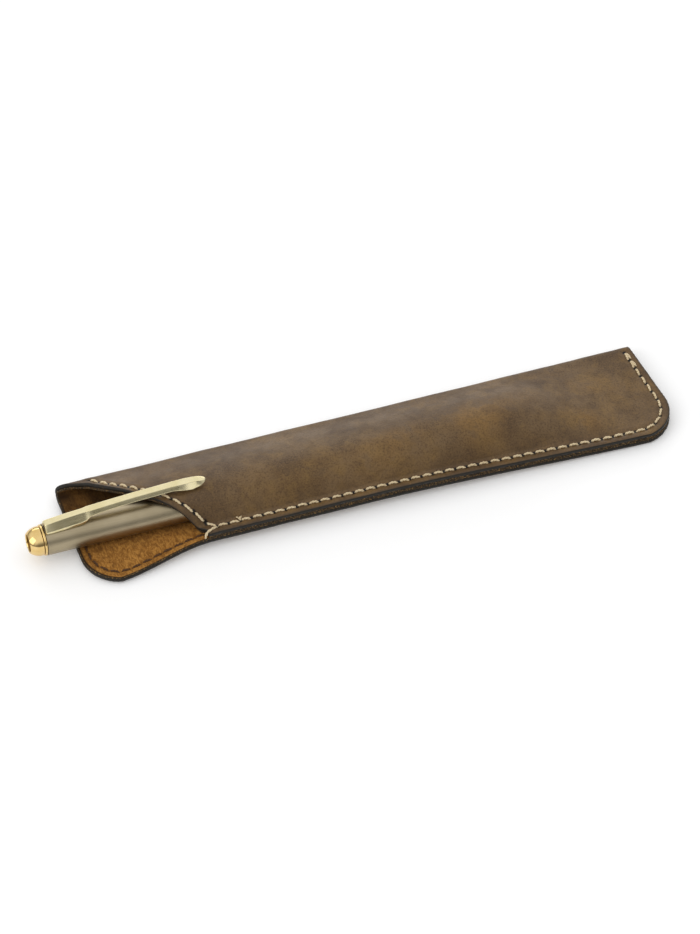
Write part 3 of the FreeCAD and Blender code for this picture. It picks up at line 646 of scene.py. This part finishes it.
def leather_look():
    look = Look("pull_up_leather", roughness=0.45, specular_ior_level=0.28)
    clouds = look.noise(15.0, 3.0, 0.5, 0.4, seed=2.3)
    grain = look.noise(0.45, 3.0, 0.6)
    speckle = look.noise(0.3, 2.0, 0.6)
    smoke = look.noise(4.0, 4.0, 0.55, 0.5, seed=1.1)
    blotch = look.noise(7.0, 4.0, 0.6, 0.6, seed=5.2)
    warm = look.maths("MULTIPLY", look.attribute("warm"), look.spread(smoke, 0.3, 0.62, 0.25, 1.0))
    base = look.blend(look.spread(clouds, 0.36, 0.64), tone(89, 68, 43), tone(110, 87, 58))
    base = look.blend(look.spread(warm, 0.05, 0.9, 0.0, 0.85), base, tone(132, 99, 50))
    base = look.blend(look.spread(blotch, 0.45, 0.66, 0.0, 0.55), base, tone(126, 97, 52))
    base = look.blend(look.spread(smoke, 0.44, 0.68, 0.0, 0.45), base, tone(70, 52, 36))
    base = look.blend(look.spread(speckle, 0.5, 0.7, 0.0, 0.5), base, tone(128, 98, 60))
    base = look.blend(look.spread(grain, 0.55, 0.35, 0.0, 0.45), base, tone(58, 42, 26))
    # Painted shade in the stitch holes: near-black where each hole sinks into the leather.
    hole = look.attribute("hole")
    base = look.blend(look.spread(hole, 0.12, 0.6), base, tone(24, 18, 13))
    edge = look.attribute("margin")
    base = look.blend(look.spread(edge, 0.9, 0.0, 0.0, 0.55), base, tone(52, 42, 32))
    pores = look.cells(0.42)
    wrinkle = look.noise(2.2, 3.0, 0.6, 0.8)
    normal = look.bump(grain, 0.04, look.bump(pores, 0.03, look.bump(wrinkle, 0.05)))
    return look.finish(base, normal, look.spread(smoke, 0.3, 0.7, 0.4, 0.5))


def edge_paint_look():
    look = Look("painted_edge", roughness=0.5, specular_ior_level=0.3)
    wear = look.noise(0.9, 4.0, 0.65)
    base = look.blend(look.spread(wear, 0.6, 0.74), tone(31, 27, 21), tone(94, 74, 47))
    pits = look.noise(0.35, 3.0, 0.6)
    return look.finish(base, look.bump(pits, 0.08), look.spread(wear, 0.4, 0.7, 0.4, 0.75))


def suede_look():
    look = Look("tan_suede", roughness=0.95, specular_ior_level=0.15)
    look.set("sheen weight", 0.35)
    look.set("sheen roughness", 0.5)
    look.set("sheen tint", tone(214, 160, 92))
    nap = look.noise(0.32, 4.0, 0.65)
    brushed = look.noise(5.0, 4.0, 0.6, 0.9, seed=4.0)
    fibre = look.noise(0.5, 3.0, 0.6, 0.5, place=look.stretched(1.0, 0.35, 1.0), seed=2.0)
    base = look.blend(look.spread(brushed, 0.34, 0.66), tone(144, 95, 38), tone(178, 126, 59))
    base = look.blend(look.spread(nap, 0.42, 0.68, 0.0, 0.75), base, tone(190, 138, 72))
    base = look.blend(look.spread(fibre, 0.58, 0.4, 0.0, 0.6), base, tone(100, 62, 22))
    burnt = look.noise(1.4, 4.0, 0.7, seed=7.0)
    base = look.blend(look.spread(burnt, 0.5, 0.66, 0.0, 0.55), base, tone(88, 52, 20))
    # Painted shade inside the pouch: the fold, the front panel's underside and under the pen.
    base = look.blend(look.attribute("pouch_shade"), base, tone(40, 24, 11))
    bleed = look.spread(look.attribute("margin"), 0.75, 0.2)
    base = look.blend(bleed, base, tone(34, 25, 16))
    # Painted shade in the stitch holes along the lip, where the thread sinks into the nap.
    hole = look.attribute("hole")
    base = look.blend(look.spread(hole, 0.2, 0.9, 0.0, 0.5), base, tone(66, 40, 18))
    normal = look.bump(fibre, 0.16, look.bump(brushed, 0.12))
    return look.finish(base, look.bump(nap, 0.16, normal))


def raw_edge_look():
    look = Look("raw_suede_edge", roughness=0.9)
    fibre = look.noise(0.3, 4.0, 0.7)
    base = look.blend(look.spread(fibre, 0.5, 0.64), tone(44, 35, 22), tone(160, 124, 72))
    return look.finish(base, look.bump(fibre, 0.2))


def thread_look(name, light, dark):
    look = Look(name, roughness=0.62, specular_ior_level=0.35)
    fibre = look.noise(0.16, 3.0, 0.6)
    drift = look.noise(3.0, 2.0)
    base = look.blend(look.spread(fibre, 0.35, 0.7), tone(*dark), tone(*light))
    base = look.blend(look.spread(drift, 0.35, 0.75, 0.0, 0.35), base, tone(*dark))
    return look.finish(base, look.bump(fibre, 0.04))


def gold_look():
    look = Look("gold_plate", metallic=1.0, roughness=0.13)
    film = look.noise(3.0, 3.0, 0.6)
    hair = look.noise(0.35, 2.0, 0.6, place=look.stretched(0.12, 1.0, 1.0))
    base = look.blend(look.spread(film, 0.3, 0.7), tone(220, 186, 118), tone(236, 206, 144))
    return look.finish(base, look.bump(hair, 0.0015), look.spread(hair, 0.3, 0.75, 0.1, 0.2))


# Painted shade: darker gold for the inside of the finial's recess.
def recess_shade_look():
    look = Look("gold_recess_painted_shade", metallic=1.0, roughness=0.35)
    film = look.noise(0.5, 3.0, 0.6)
    base = look.blend(look.spread(film, 0.3, 0.7), tone(96, 66, 24), tone(128, 92, 38))
    return look.finish(base, look.bump(film, 0.01))


def clip_look():
    look = Look("pale_gold_plate", metallic=1.0, roughness=0.2)
    film = look.noise(4.0, 3.0, 0.6)
    hair = look.noise(0.3, 2.0, 0.6, place=look.stretched(0.08, 1.0, 1.0))
    base = look.blend(look.spread(film, 0.3, 0.7), tone(226, 213, 166), tone(236, 224, 182))
    return look.finish(base, look.bump(hair, 0.0005), look.spread(hair, 0.3, 0.75, 0.2, 0.27))


def steel_look():
    look = Look("brushed_steel", metallic=1.0, roughness=0.38)
    hair = look.noise(0.22, 3.0, 0.65, place=look.stretched(0.03, 1.0, 1.0))
    film = look.noise(8.0, 2.0, 0.5)
    base = look.blend(look.spread(film, 0.3, 0.7), tone(164, 151, 124), tone(174, 161, 134))
    base = look.blend(look.spread(hair, 0.35, 0.75, 0.0, 0.2), base, tone(146, 131, 102))
    return look.finish(base, look.bump(hair, 0.0012), look.spread(hair, 0.3, 0.7, 0.34, 0.42))


def resin_look(name, colour, rough):
    look = Look(name, roughness=rough)
    swirl = look.noise(2.5, 3.0, 0.6, 0.4)
    lighter = tuple(c + 10 for c in colour)
    base = look.blend(look.spread(swirl, 0.3, 0.7), tone(*colour), tone(*lighter))
    normal = look.bump(look.noise(0.4, 2.0), 0.003)
    return look.finish(base, normal, look.spread(swirl, 0.3, 0.7, rough * 0.85, rough * 1.2))


def brass_look():
    look = Look("brass_insert", metallic=1.0, roughness=0.25)
    turning = look.noise(0.2, 2.0, 0.6, place=look.stretched(1.0, 0.04, 0.04))
    base = look.blend(look.spread(turning, 0.3, 0.7), tone(196, 158, 88), tone(214, 178, 108))
    return look.finish(base, look.bump(turning, 0.004), look.spread(turning, 0.3, 0.7, 0.2, 0.34))


def clear_look():
    look = Look("clear_resin", roughness=0.06)
    look.set("transmission weight", 0.92)
    look.set("ior", 1.49)
    haze = look.noise(2.0, 3.0, 0.5)
    base = look.blend(look.spread(haze, 0.3, 0.7), tone(226, 230, 232), tone(240, 243, 244))
    look.set("base color", base)
    look.set("roughness", look.spread(haze, 0.3, 0.7, 0.04, 0.1))
    return look.material


# ---------------- sleeve pieces

def build_sleeve():
    grid, normal = sleeve_grid()
    margin, pouch_shade = flat_margin(grid), suede_painted_shade(grid)
    relief, holes = leather_relief(grid)
    outer = grid + normal * relief[..., None]
    outer[..., 2] = np.maximum(outer[..., 2], 0.0)
    inner = grid - normal * LEATHER
    leather = sheet_shell("sleeve_leather_skin", outer, inner, EDGE_ROUND, EDGE_NICKS)
    paint(leather, "hole", holes)
    paint(leather, "margin", margin)
    paint(leather, "warm", warm_patches(grid))
    leather.materials.append(leather_look())
    leather.materials.append(edge_paint_look())
    link("sleeve_leather_skin", leather, "sleeve", "outer_leather", "outer_leather")

    relief, holes = suede_relief(grid)
    top = grid - normal * (LEATHER + GLUE)
    bottom = grid - normal * (WALL + relief)[..., None]
    suede = sheet_shell("sleeve_suede_skin", top, bottom, SUEDE_ROUND, SUEDE_FUZZ)
    paint(suede, "hole", np.zeros_like(holes), holes)
    paint(suede, "margin", margin, margin)
    # Painted shade inside the pouch, kept per vertex for the suede's material.
    paint(suede, "pouch_shade", pouch_shade, pouch_shade)
    suede.materials.append(suede_look())
    suede.materials.append(raw_edge_look())
    link("sleeve_suede_skin", suede, "sleeve", "suede_lining", "suede_lining")


def face_height(x, y, front, depth):
    """Height and normal of the sleeve's face above or below a plan point, at a depth."""
    x, y = np.atleast_1d(x), np.atleast_1d(y)
    rows = slice(FOLD_ROW, ROWS) if front else slice(0, FOLD_ROW + 1)
    height = np.zeros(len(x))
    normals = np.zeros((len(x), 3))
    for k in range(len(x)):
        near = int(np.clip(np.searchsorted(STATIONS, x[k]) - 1, 0, len(STATIONS) - 2))
        share = (x[k] - STATIONS[near]) / STATION_STEP
        section = SECTIONS[near] * (1.0 - share) + SECTIONS[near + 1] * share
        ys = section[0, rows] - depth * section[2, rows]
        zs = section[1, rows] - depth * section[3, rows]
        order = np.argsort(ys)
        height[k] = np.interp(y[k], ys[order], zs[order])
        normals[k, 1:] = [np.interp(y[k], ys[order], section[n, rows][order]) for n in (2, 3)]
    return height, normals


def tube(points, radii, sides=8):
    """Vertices and faces of a tube with closed ends along a path."""
    points = np.asarray(points, float)
    run = unit(np.gradient(points, axis=0))
    side = unit(np.cross(run, (0.13, 0.21, 0.97)))
    rise = np.cross(run, side)
    angles = np.arange(sides) * 2.0 * math.pi / sides
    rings = [
        centre + radius * (np.cos(angles)[:, None] * s + np.sin(angles)[:, None] * r)
        for centre, radius, s, r in zip(points, radii, side, rise)
    ]
    vertices = np.concatenate(rings)
    faces = []
    for k in range(len(points) - 1):
        first = k * sides + np.arange(sides)
        second = first + sides
        faces += list(np.stack([first, np.roll(first, -1), np.roll(second, -1), second], -1))
    faces.append(np.arange(sides)[::-1])
    faces.append((len(points) - 1) * sides + np.arange(sides))
    return vertices, faces


def twisted(points, radius, turns, phase):
    """The two plies of a thread along a path."""
    points = np.asarray(points, float)
    run = unit(np.gradient(points, axis=0))
    side = np.cross(run, (0.0, 0.0, 1.0))
    side /= np.maximum(np.linalg.norm(side, axis=1), 1e-6)[:, None]
    rise = np.cross(side, run)
    share = np.linspace(0.0, 1.0, len(points))
    thickness = radius * np.clip(np.sin(math.pi * np.clip(share, 0.06, 0.94)) * 3.0, 0.55, 1.0)
    plies = []
    for ply in (0.0, math.pi):
        angle = phase + ply + 2.0 * math.pi * turns * share
        offset = 0.44 * thickness[:, None] * (
            np.cos(angle)[:, None] * side + np.sin(angle)[:, None] * rise)
        plies.append(tube(points + offset, 0.6 * thickness))
    return plies


class Strands:
    """Collects tubes into one mesh."""

    def __init__(self):
        self.vertices, self.faces, self.count = [], [], 0

    def add(self, vertices, faces):
        self.vertices.append(vertices)
        self.faces += [tuple(int(i) + self.count for i in face) for face in faces]
        self.count += len(vertices)

    def thread(self, points, radius=THREAD, turns=1.6, phase=0.0):
        for ply in twisted(points, radius, turns, phase):
            self.add(*ply)

    def mesh(self, name):
        return make_mesh(name, to_world(np.concatenate(self.vertices)), self.faces)


def stitch_points(first, second, front, depth, rise, slant, steps=15):
    """A stitch that comes up out of one hole, lies on the face and dives into the next."""
    share = np.linspace(0.0, 1.0, steps)
    run = second - first
    across = np.array([-run[1], run[0]]) / np.linalg.norm(run)
    plan = first + (STITCH_GAP + (1.0 - 2.0 * STITCH_GAP) * share)[:, None] * run
    plan = plan + across * (slant * (0.5 - share))[:, None]
    height, normal = face_height(plan[:, 0], plan[:, 1], front, depth)
    arch = np.sin(math.pi * share) ** 0.55
    lift = -0.55 + (0.55 + rise) * arch
    points = np.column_stack([plan, height])
    facing = 1.0 if depth == 0.0 else -1.0
    return points + facing * normal * lift[:, None]


def stitch_row(strands, marks, front, depth, rise, rng, slant=0.24):
    for first, second in zip(marks, marks[1:]):
        wander = np.array([rng.gauss(0.0, 0.05), rng.gauss(0.0, 0.05)])
        points = stitch_points(first + wander, second, front, depth,
                               rise + rng.gauss(0.0, 0.02), slant + rng.gauss(0.0, 0.06))
        if not front and depth == 0.0:
            points[:, 2] = np.maximum(points[:, 2], 0.9 * THREAD)
        strands.thread(points, phase=rng.uniform(0.0, 6.0))


def wrap_points():
    """The stitch that goes from the first hole over the flap's corner to the back panel."""
    start, edge = np.array(JUNCTION), np.array([32.0, 1.9])
    share = np.linspace(0.0, 1.0, 14)
    plan = start + share[:, None] * (edge - start)
    height, normal = face_height(plan[:, 0], plan[:, 1], True, 0.0)
    over = np.column_stack([plan, height]) + normal * (
        -0.5 + 0.78 * np.sin(0.5 * math.pi * np.clip(share * 2.4, 0.0, 1.0)))[:, None]
    foot = edge - (0.55, 0.35)
    ground = float(face_height(foot[0], foot[1], False, WALL)[0][0])
    down = [(foot[0] + 0.22, foot[1] + 0.12, over[-1, 2] - 0.55),
            (foot[0], foot[1], 0.5 * (over[-1, 2] + ground)), (foot[0], foot[1], ground - 0.2)]
    return smooth_path(np.concatenate([over, down]), 30)


def smooth_path(points, count):
    """A rounded path of evenly spaced points through rough ones."""
    points = np.asarray(points, float)
    for _ in range(3):
        points[1:-1] = 0.25 * points[:-2] + 0.5 * points[1:-1] + 0.25 * points[2:]
    length = lengths(points)
    at = np.linspace(0.0, length[-1], count)
    return np.stack([np.interp(at, length, points[:, k]) for k in range(3)], -1)


def loose_end(mark, lean, length):
    """A cut end of thread that stands up out of its hole."""
    share = np.linspace(0.0, 1.0, 9)
    plan = mark + (share * length)[:, None] * np.array([math.cos(lean), math.sin(lean)])
    height, normal = face_height(plan[:, 0], plan[:, 1], True, 0.0)
    return np.column_stack([plan, height]) + normal * (-0.2 + 0.75 * np.sin(share * 2.2))[:, None]


def tie_off(strands):
    """The back-tack beside the fold, the stitch round the flap's corner and three cut ends."""
    shift = np.array([0.4, 0.1])
    for first, second in ((SEAM_MARKS[-2], SEAM_MARKS[-1]), (SEAM_MARKS[-3], SEAM_MARKS[-2])):
        strands.thread(stitch_points(first + shift, second + shift * 0.6, True, 0.0, 0.3, -0.5))
    strands.thread(wrap_points(), THREAD * 1.05, 2.2)
    for lean, length in ((2.2, 1.5), (1.1, 1.2), (1.6, 0.8)):
        strands.thread(loose_end(SEAM_MARKS[2], lean, length), 0.17, 1.5)


def build_threads():
    """Four pieces of thread; each row of one is its marks, upper side or not, depth and rise."""
    rng = random.Random(11)
    cream = thread_look("cream_thread", (240, 224, 190), (202, 180, 140))
    dark = thread_look("dark_thread", (104, 68, 32), (66, 42, 20))
    pieces = [
        ("seam_stitches_front", cream, "sewing_thread", "seam_needle_thread",
         [(SEAM_MARKS, True, 0.0, 0.16)]),
        ("seam_stitches_back", cream, "sewing_thread", "seam_bobbin_thread",
         [(SEAM_MARKS, False, 0.0, 0.05)]),
        ("mouth_stitches_out", cream, "sewing_thread", "edge_needle_thread",
         [(FLAP_MARKS, True, 0.0, 0.16), (LIP_MARKS, False, 0.0, 0.05)]),
        ("mouth_stitches_in", dark, "dark_thread", "edge_bobbin_thread",
         [(FLAP_MARKS, True, WALL, 0.1), (LIP_MARKS, False, WALL, -0.12)]),
    ]
    for name, look, slot, node, rows in pieces:
        strands = Strands()
        for row in rows:
            stitch_row(strands, *row, rng)
        if name == "seam_stitches_front":
            tie_off(strands)
        mesh = strands.mesh(name)
        mesh.materials.append(look)
        link(name, mesh, "sleeve", slot, node)


# ---------------- pen pieces

def pen_world(points):
    """Pen millimetres, u from the finial's tip, to the row frame, metres."""
    offset = (-MIDDLE_X - PEN_REACH, PEN_Y - MIDDLE_Y, PEN_Z)
    return (np.asarray(points) + offset) * MM


def rounded_profile(points, radius, steps=4):
    """A closed outline with its corners rounded."""
    result = []
    count = len(points)
    for k, corner in enumerate(points):
        corner = np.array(corner, float)
        before = np.array(points[k - 1], float) - corner
        after = np.array(points[(k + 1) % count], float) - corner
        short = min(np.linalg.norm(before), np.linalg.norm(after))
        cut = min(radius, 0.45 * short)
        start = corner + before / np.linalg.norm(before) * cut
        end = corner + after / np.linalg.norm(after) * cut
        for step in range(steps + 1):
            t = step / steps
            result.append((1 - t) ** 2 * start + 2 * t * (1 - t) * corner + t * t * end)
    return result


def lathe(name, profile, radius=0.06, sides=160):
    """A ring or solid turned about the pen's axis, with softened corners."""
    profile = np.array(rounded_profile(profile, radius))
    profile[:, 1] = np.maximum(profile[:, 1], 0.002)
    angles = np.arange(sides) * 2.0 * math.pi / sides
    vertices = []
    for u, r in profile:
        vertices.append(np.column_stack(
            [np.full(sides, u), r * np.cos(angles), r * np.sin(angles)]))
    faces = []
    count, ring = len(profile), np.arange(sides)
    for k in range(count):
        faces += list(band(k * sides + ring, ((k + 1) % count) * sides + ring))
    return make_mesh(name, pen_world(np.concatenate(vertices)), faces)


def finish_normals(mesh):
    """Faces point outward whatever order they were made in."""
    work = bmesh.new()
    work.from_mesh(mesh)
    bmesh.ops.recalc_face_normals(work, faces=work.faces)
    work.to_mesh(mesh)
    work.free()


# Clip: tables of (station, value), heights from the pen's axis.
CLIP_TOP = [(4.4, 6.3), (9.0, 6.95), (13.9, 7.45), (20.0, 8.05), (28.4, 8.68), (38.5, 9.18),
            (44.0, 9.12), (47.3, 8.72)]
CLIP_FOOT = [(4.4, 4.02), (6.1, 3.9), (14.2, 4.3), (15.4, 5.0), (16.4, 6.15), (20.0, 6.85),
             (28.4, 7.5), (38.5, 7.98), (41.5, 7.45), (43.5, 6.95), (45.5, 7.45), (47.3, 8.1)]
CLIP_HALF = [(4.4, 2.2), (9.0, 2.1), (14.8, 1.95), (16.4, 1.62), (24.0, 1.5), (38.0, 1.5),
             (42.0, 1.72), (45.0, 1.5)]
CLIP_START, CLIP_STEP, CLIP_SOLID = 4.4, (14.4, 16.4), (36.0, 40.0)
CLIP_BLUNT, CLIP_NOSE, NOSE_RADIUS, NOSE_Z = 45.0, 2.42, 2.45, 8.35
CLIP_SHEET, CAP_CLEAR = 0.75, 4.32


def clip_section(u):
    """A narrow land along the top, two sloped flanges and, up to the head, a hollow below."""
    tables = (CLIP_TOP, CLIP_FOOT, CLIP_HALF)
    z_top, z_foot, half = (np.interp(u, *zip(*table)) for table in tables)
    hollow = max(CAP_CLEAR, z_top - CLIP_SHEET)
    if u > CLIP_BLUNT:
        shrink = max(math.sqrt(max(1.0 - ((u - CLIP_BLUNT) / NOSE_RADIUS) ** 2, 0.0)), 0.06)
        half *= shrink
        z_top = NOSE_Z + (z_top - NOSE_Z) * shrink
        z_foot = NOSE_Z - (NOSE_Z - z_foot) * shrink
    solid = np.interp(u, CLIP_SOLID, (0.0, 1.0))
    hollow = max(hollow * (1.0 - solid) + z_foot * solid, z_foot)
    draw_in = 0.86 + 0.14 * min((u - CLIP_START) / 0.5, 1.0) ** 0.5
    arm = ease(u, *CLIP_STEP)
    shoulder = z_foot + (0.27 - 0.17 * arm) * (z_top - z_foot)
    land, lip = (0.4 + 0.18 * arm) * half, 0.72 * half
    outline = [(-half, z_foot), (-half, shoulder), (-land, z_top), (land, z_top),
               (half, shoulder), (half, z_foot), (lip, z_foot), (0.5 * half, hollow),
               (-0.5 * half, hollow), (-lip, z_foot)]
    middle = 0.5 * (z_top + z_foot)
    return [(u, y * draw_in, middle + (z - middle) * draw_in)
            for y, z in rounded_profile(outline, 0.13, 3)]


def build_clip(gold):
    """Tapered clip folded from sheet, with a round nose."""
    stations = np.concatenate([
        np.linspace(CLIP_START, 4.9, 5), np.linspace(5.2, CLIP_BLUNT, 110),
        CLIP_BLUNT + CLIP_NOSE * np.sin(np.linspace(0.06, 1.0, 18) * 0.5 * math.pi)])
    sections = [clip_section(u) for u in stations]
    size = len(sections[0])
    vertices = np.array(sections).reshape(-1, 3)
    ring = np.arange(size)
    faces = []
    for k in range(len(sections) - 1):
        faces += list(band(k * size + ring, (k + 1) * size + ring))
    faces += [ring, ((len(sections) - 1) * size + ring)[::-1]]
    mesh = make_mesh("clip_skin", pen_world(vertices), faces)
    finish_normals(mesh)
    mesh.materials.append(gold)
    flat_faces(link("clip_skin", mesh, "clip", "gold_plate", "pen_clip"))


def arc_profile(start, end, bow, steps=18):
    """Points of an arc between two profile points, bulging outward."""
    start, end = np.array(start, float), np.array(end, float)
    half = 0.5 * (end - start)
    length = np.linalg.norm(half)
    side = np.array([-half[1], half[0]]) / length
    centre = start + half - side * math.sqrt(bow ** 2 - length ** 2)
    first = math.atan2(*(start - centre)[::-1])
    last = math.atan2(*(end - centre)[::-1])
    return [tuple(centre + bow * np.array([math.cos(a), math.sin(a)]))
            for a in np.linspace(first, last, steps)]


RECESS_RADIUS, RECESS = 2.38, (0.12, 1.55)


def paint_recess_shade(mesh):
    """The second material, painted shade, on the inside of the recess in the finial's tip."""
    axis = pen_world([(0.0, 0.0, 0.0)])[0]
    for face in mesh.polygons:
        away = (Vector(axis) - face.center) / MM
        inside = math.hypot(away.y, away.z) < RECESS_RADIUS and RECESS[0] < -away.x < RECESS[1]
        face.material_index = 1 if inside else 0


def flat_faces(piece):
    """Keep broad faces flat to the eye and round only the narrow ones between them."""
    modifier = piece.modifiers.new("flat_faces", "WEIGHTED_NORMAL")
    modifier.keep_sharp = True


def build_pen(steel, gold):
    finial = [(1.5, 0.0), (1.5, 1.9), (0.35, 2.32)]
    finial += arc_profile((0.0, 2.6), (3.4, 3.85), 4.2)
    finial += [(3.4, 1.4), (8.4, 1.4), (8.4, 0.0)]
    turned = [
        ("finial_skin", finial, 0.1, gold, "cap", "gold_plate", "cap_finial"),
        ("ring_skin", [(3.55, 1.48), (3.55, 4.1), (4.2, 4.1), (4.2, 1.48)], 0.22,
         gold, "cap", "gold_plate", "cap_ring"),
        ("lip_band_skin", [(61.03, 3.96), (61.03, 4.36), (62.6, 4.36), (62.6, 3.96)], 0.16,
         gold, "cap", "gold_plate", "cap_lip_band"),
        ("barrel_skin", [(62.9, 3.7), (62.9, 4.15), (88.0, 4.15), (128.0, 3.5),
                         (128.0, 3.05), (88.0, 3.7)], 0.08,
         steel, "barrel", "brushed_steel", "barrel_tube"),
        ("clutch_ring_skin", [(60.6, 3.24), (60.6, 3.85), (62.6, 3.85), (62.6, 3.24)], 0.16,
         gold, "section", "gold_plate", "section_clutch_ring"),
    ]
    for name, profile, radius, look, body, slot, node in turned:
        mesh = lathe(name, profile, radius)
        finish_normals(mesh)
        mesh.materials.append(look)
        if name == "finial_skin":
            # Painted shade inside the recess of the finial's tip.
            mesh.materials.append(recess_shade_look())
            paint_recess_shade(mesh)
        flat_faces(link(name, mesh, body, slot, node))


def dress(names, look):
    """Give carried-over CAD nodes a material."""
    for name in names:
        mesh = nodes[name].data
        mesh.materials.clear()
        mesh.materials.append(look)


# ---------------- stage

def area_light(name, place, size, power):
    """A rectangular light that faces the origin."""
    data = bpy.data.lights.new(name, "AREA")
    data.shape = "RECTANGLE"
    data.size, data.size_y = size
    data.energy = power
    lamp = bpy.data.objects.new(name, data)
    bpy.context.scene.collection.objects.link(lamp)
    lamp.location = place
    lamp.rotation_euler = (-Vector(place)).to_track_quat("-Z", "Y").to_euler()


def build_stage():
    half = 3.0
    corners = [(-half, -half, 0.0), (half, -half, 0.0), (half, half, 0.0), (-half, half, 0.0)]
    mesh = make_mesh("floor", corners, [(0, 1, 2, 3)], smooth=False)
    look = Look("studio_floor", roughness=0.9, specular_ior_level=0.1)
    paper = look.noise(1.0, 2.0)
    look.set("base color", look.blend(look.spread(paper, 0.3, 0.7),
                                      (0.93, 0.93, 0.93), (0.94, 0.94, 0.94)))
    look.set("emission color", (1.0, 1.0, 1.0))
    look.set("emission strength", 0.11)
    mesh.materials.append(look.material)
    floor = bpy.data.objects.new("floor", mesh)
    bpy.context.scene.collection.objects.link(floor)

    world = bpy.data.worlds.new("studio")
    bpy.context.scene.world = world
    world.use_nodes = True
    tree = world.node_tree
    background = tree.nodes["Background"]
    place = tree.nodes.new("ShaderNodeTexCoord")
    parts = tree.nodes.new("ShaderNodeSeparateXYZ")
    strength = tree.nodes.new("ShaderNodeMath")
    strength.operation = "MULTIPLY"
    tree.links.new(place.outputs["Generated"], parts.inputs["Vector"])
    ramps = (("Z", (0.0, 0.6, 0.3, 0.98)), ("Y", (-0.97, -0.7, 0.4, 1.0)))
    for index, (axis, limits) in enumerate(ramps):
        ramp = tree.nodes.new("ShaderNodeMapRange")
        ramp.interpolation_type = "SMOOTHSTEP"
        for socket, number in zip(("From Min", "From Max", "To Min", "To Max"), limits):
            ramp.inputs[socket].default_value = number
        tree.links.new(parts.outputs[axis], ramp.inputs["Value"])
        tree.links.new(ramp.outputs["Result"], strength.inputs[index])
    tree.links.new(strength.outputs["Value"], background.inputs["Strength"])
    background.inputs["Color"].default_value = (1.0, 1.0, 1.0, 1.0)
    area_light("back_softbox", (0.3, 1.3, 0.5), (1.6, 0.36), 2.8)
    area_light("left_softbox", (-1.1, -0.25, 0.65), (0.9, 0.9), 3.4)


def build_camera():
    data = bpy.data.cameras.new("camera")
    data.lens = 295.5
    data.sensor_width = 36.0
    data.clip_end = 20.0
    camera = bpy.data.objects.new("camera", data)
    bpy.context.scene.collection.objects.link(camera)
    target = Vector((6.75, 17.85, -17.9)) * MM
    camera.location = (-0.4197, -1.2643, 1.4567)
    camera.rotation_euler = (target - camera.location).to_track_quat("-Z", "Y").to_euler()
    bpy.context.scene.camera = camera


# ---------------- everything

bpy.context.scene.view_settings.view_transform = "Standard"
gold, steel = gold_look(), steel_look()
black = resin_look("black_resin", (16, 15, 15), 0.18)
matte = resin_look("matte_resin", (26, 25, 24), 0.5)
rubber = resin_look("rubber_seal", (34, 32, 30), 0.7)
build_sleeve()
build_threads()
build_clip(clip_look())
build_pen(steel, gold)
dress(["cap_tube"], steel)
dress(["barrel_tail_cap", "nib"], gold)
dress(["grip_section", "converter_knob"], black)
dress(["inner_cap", "nib_collar", "feed", "converter_piston", "piston_rod"], matte)
dress(["barrel_thread_ring", "converter_collar", "converter_housing"], brass_look())
dress(["converter_tube"], clear_look())
dress(["piston_seal"], rubber)
build_stage()
build_camera()
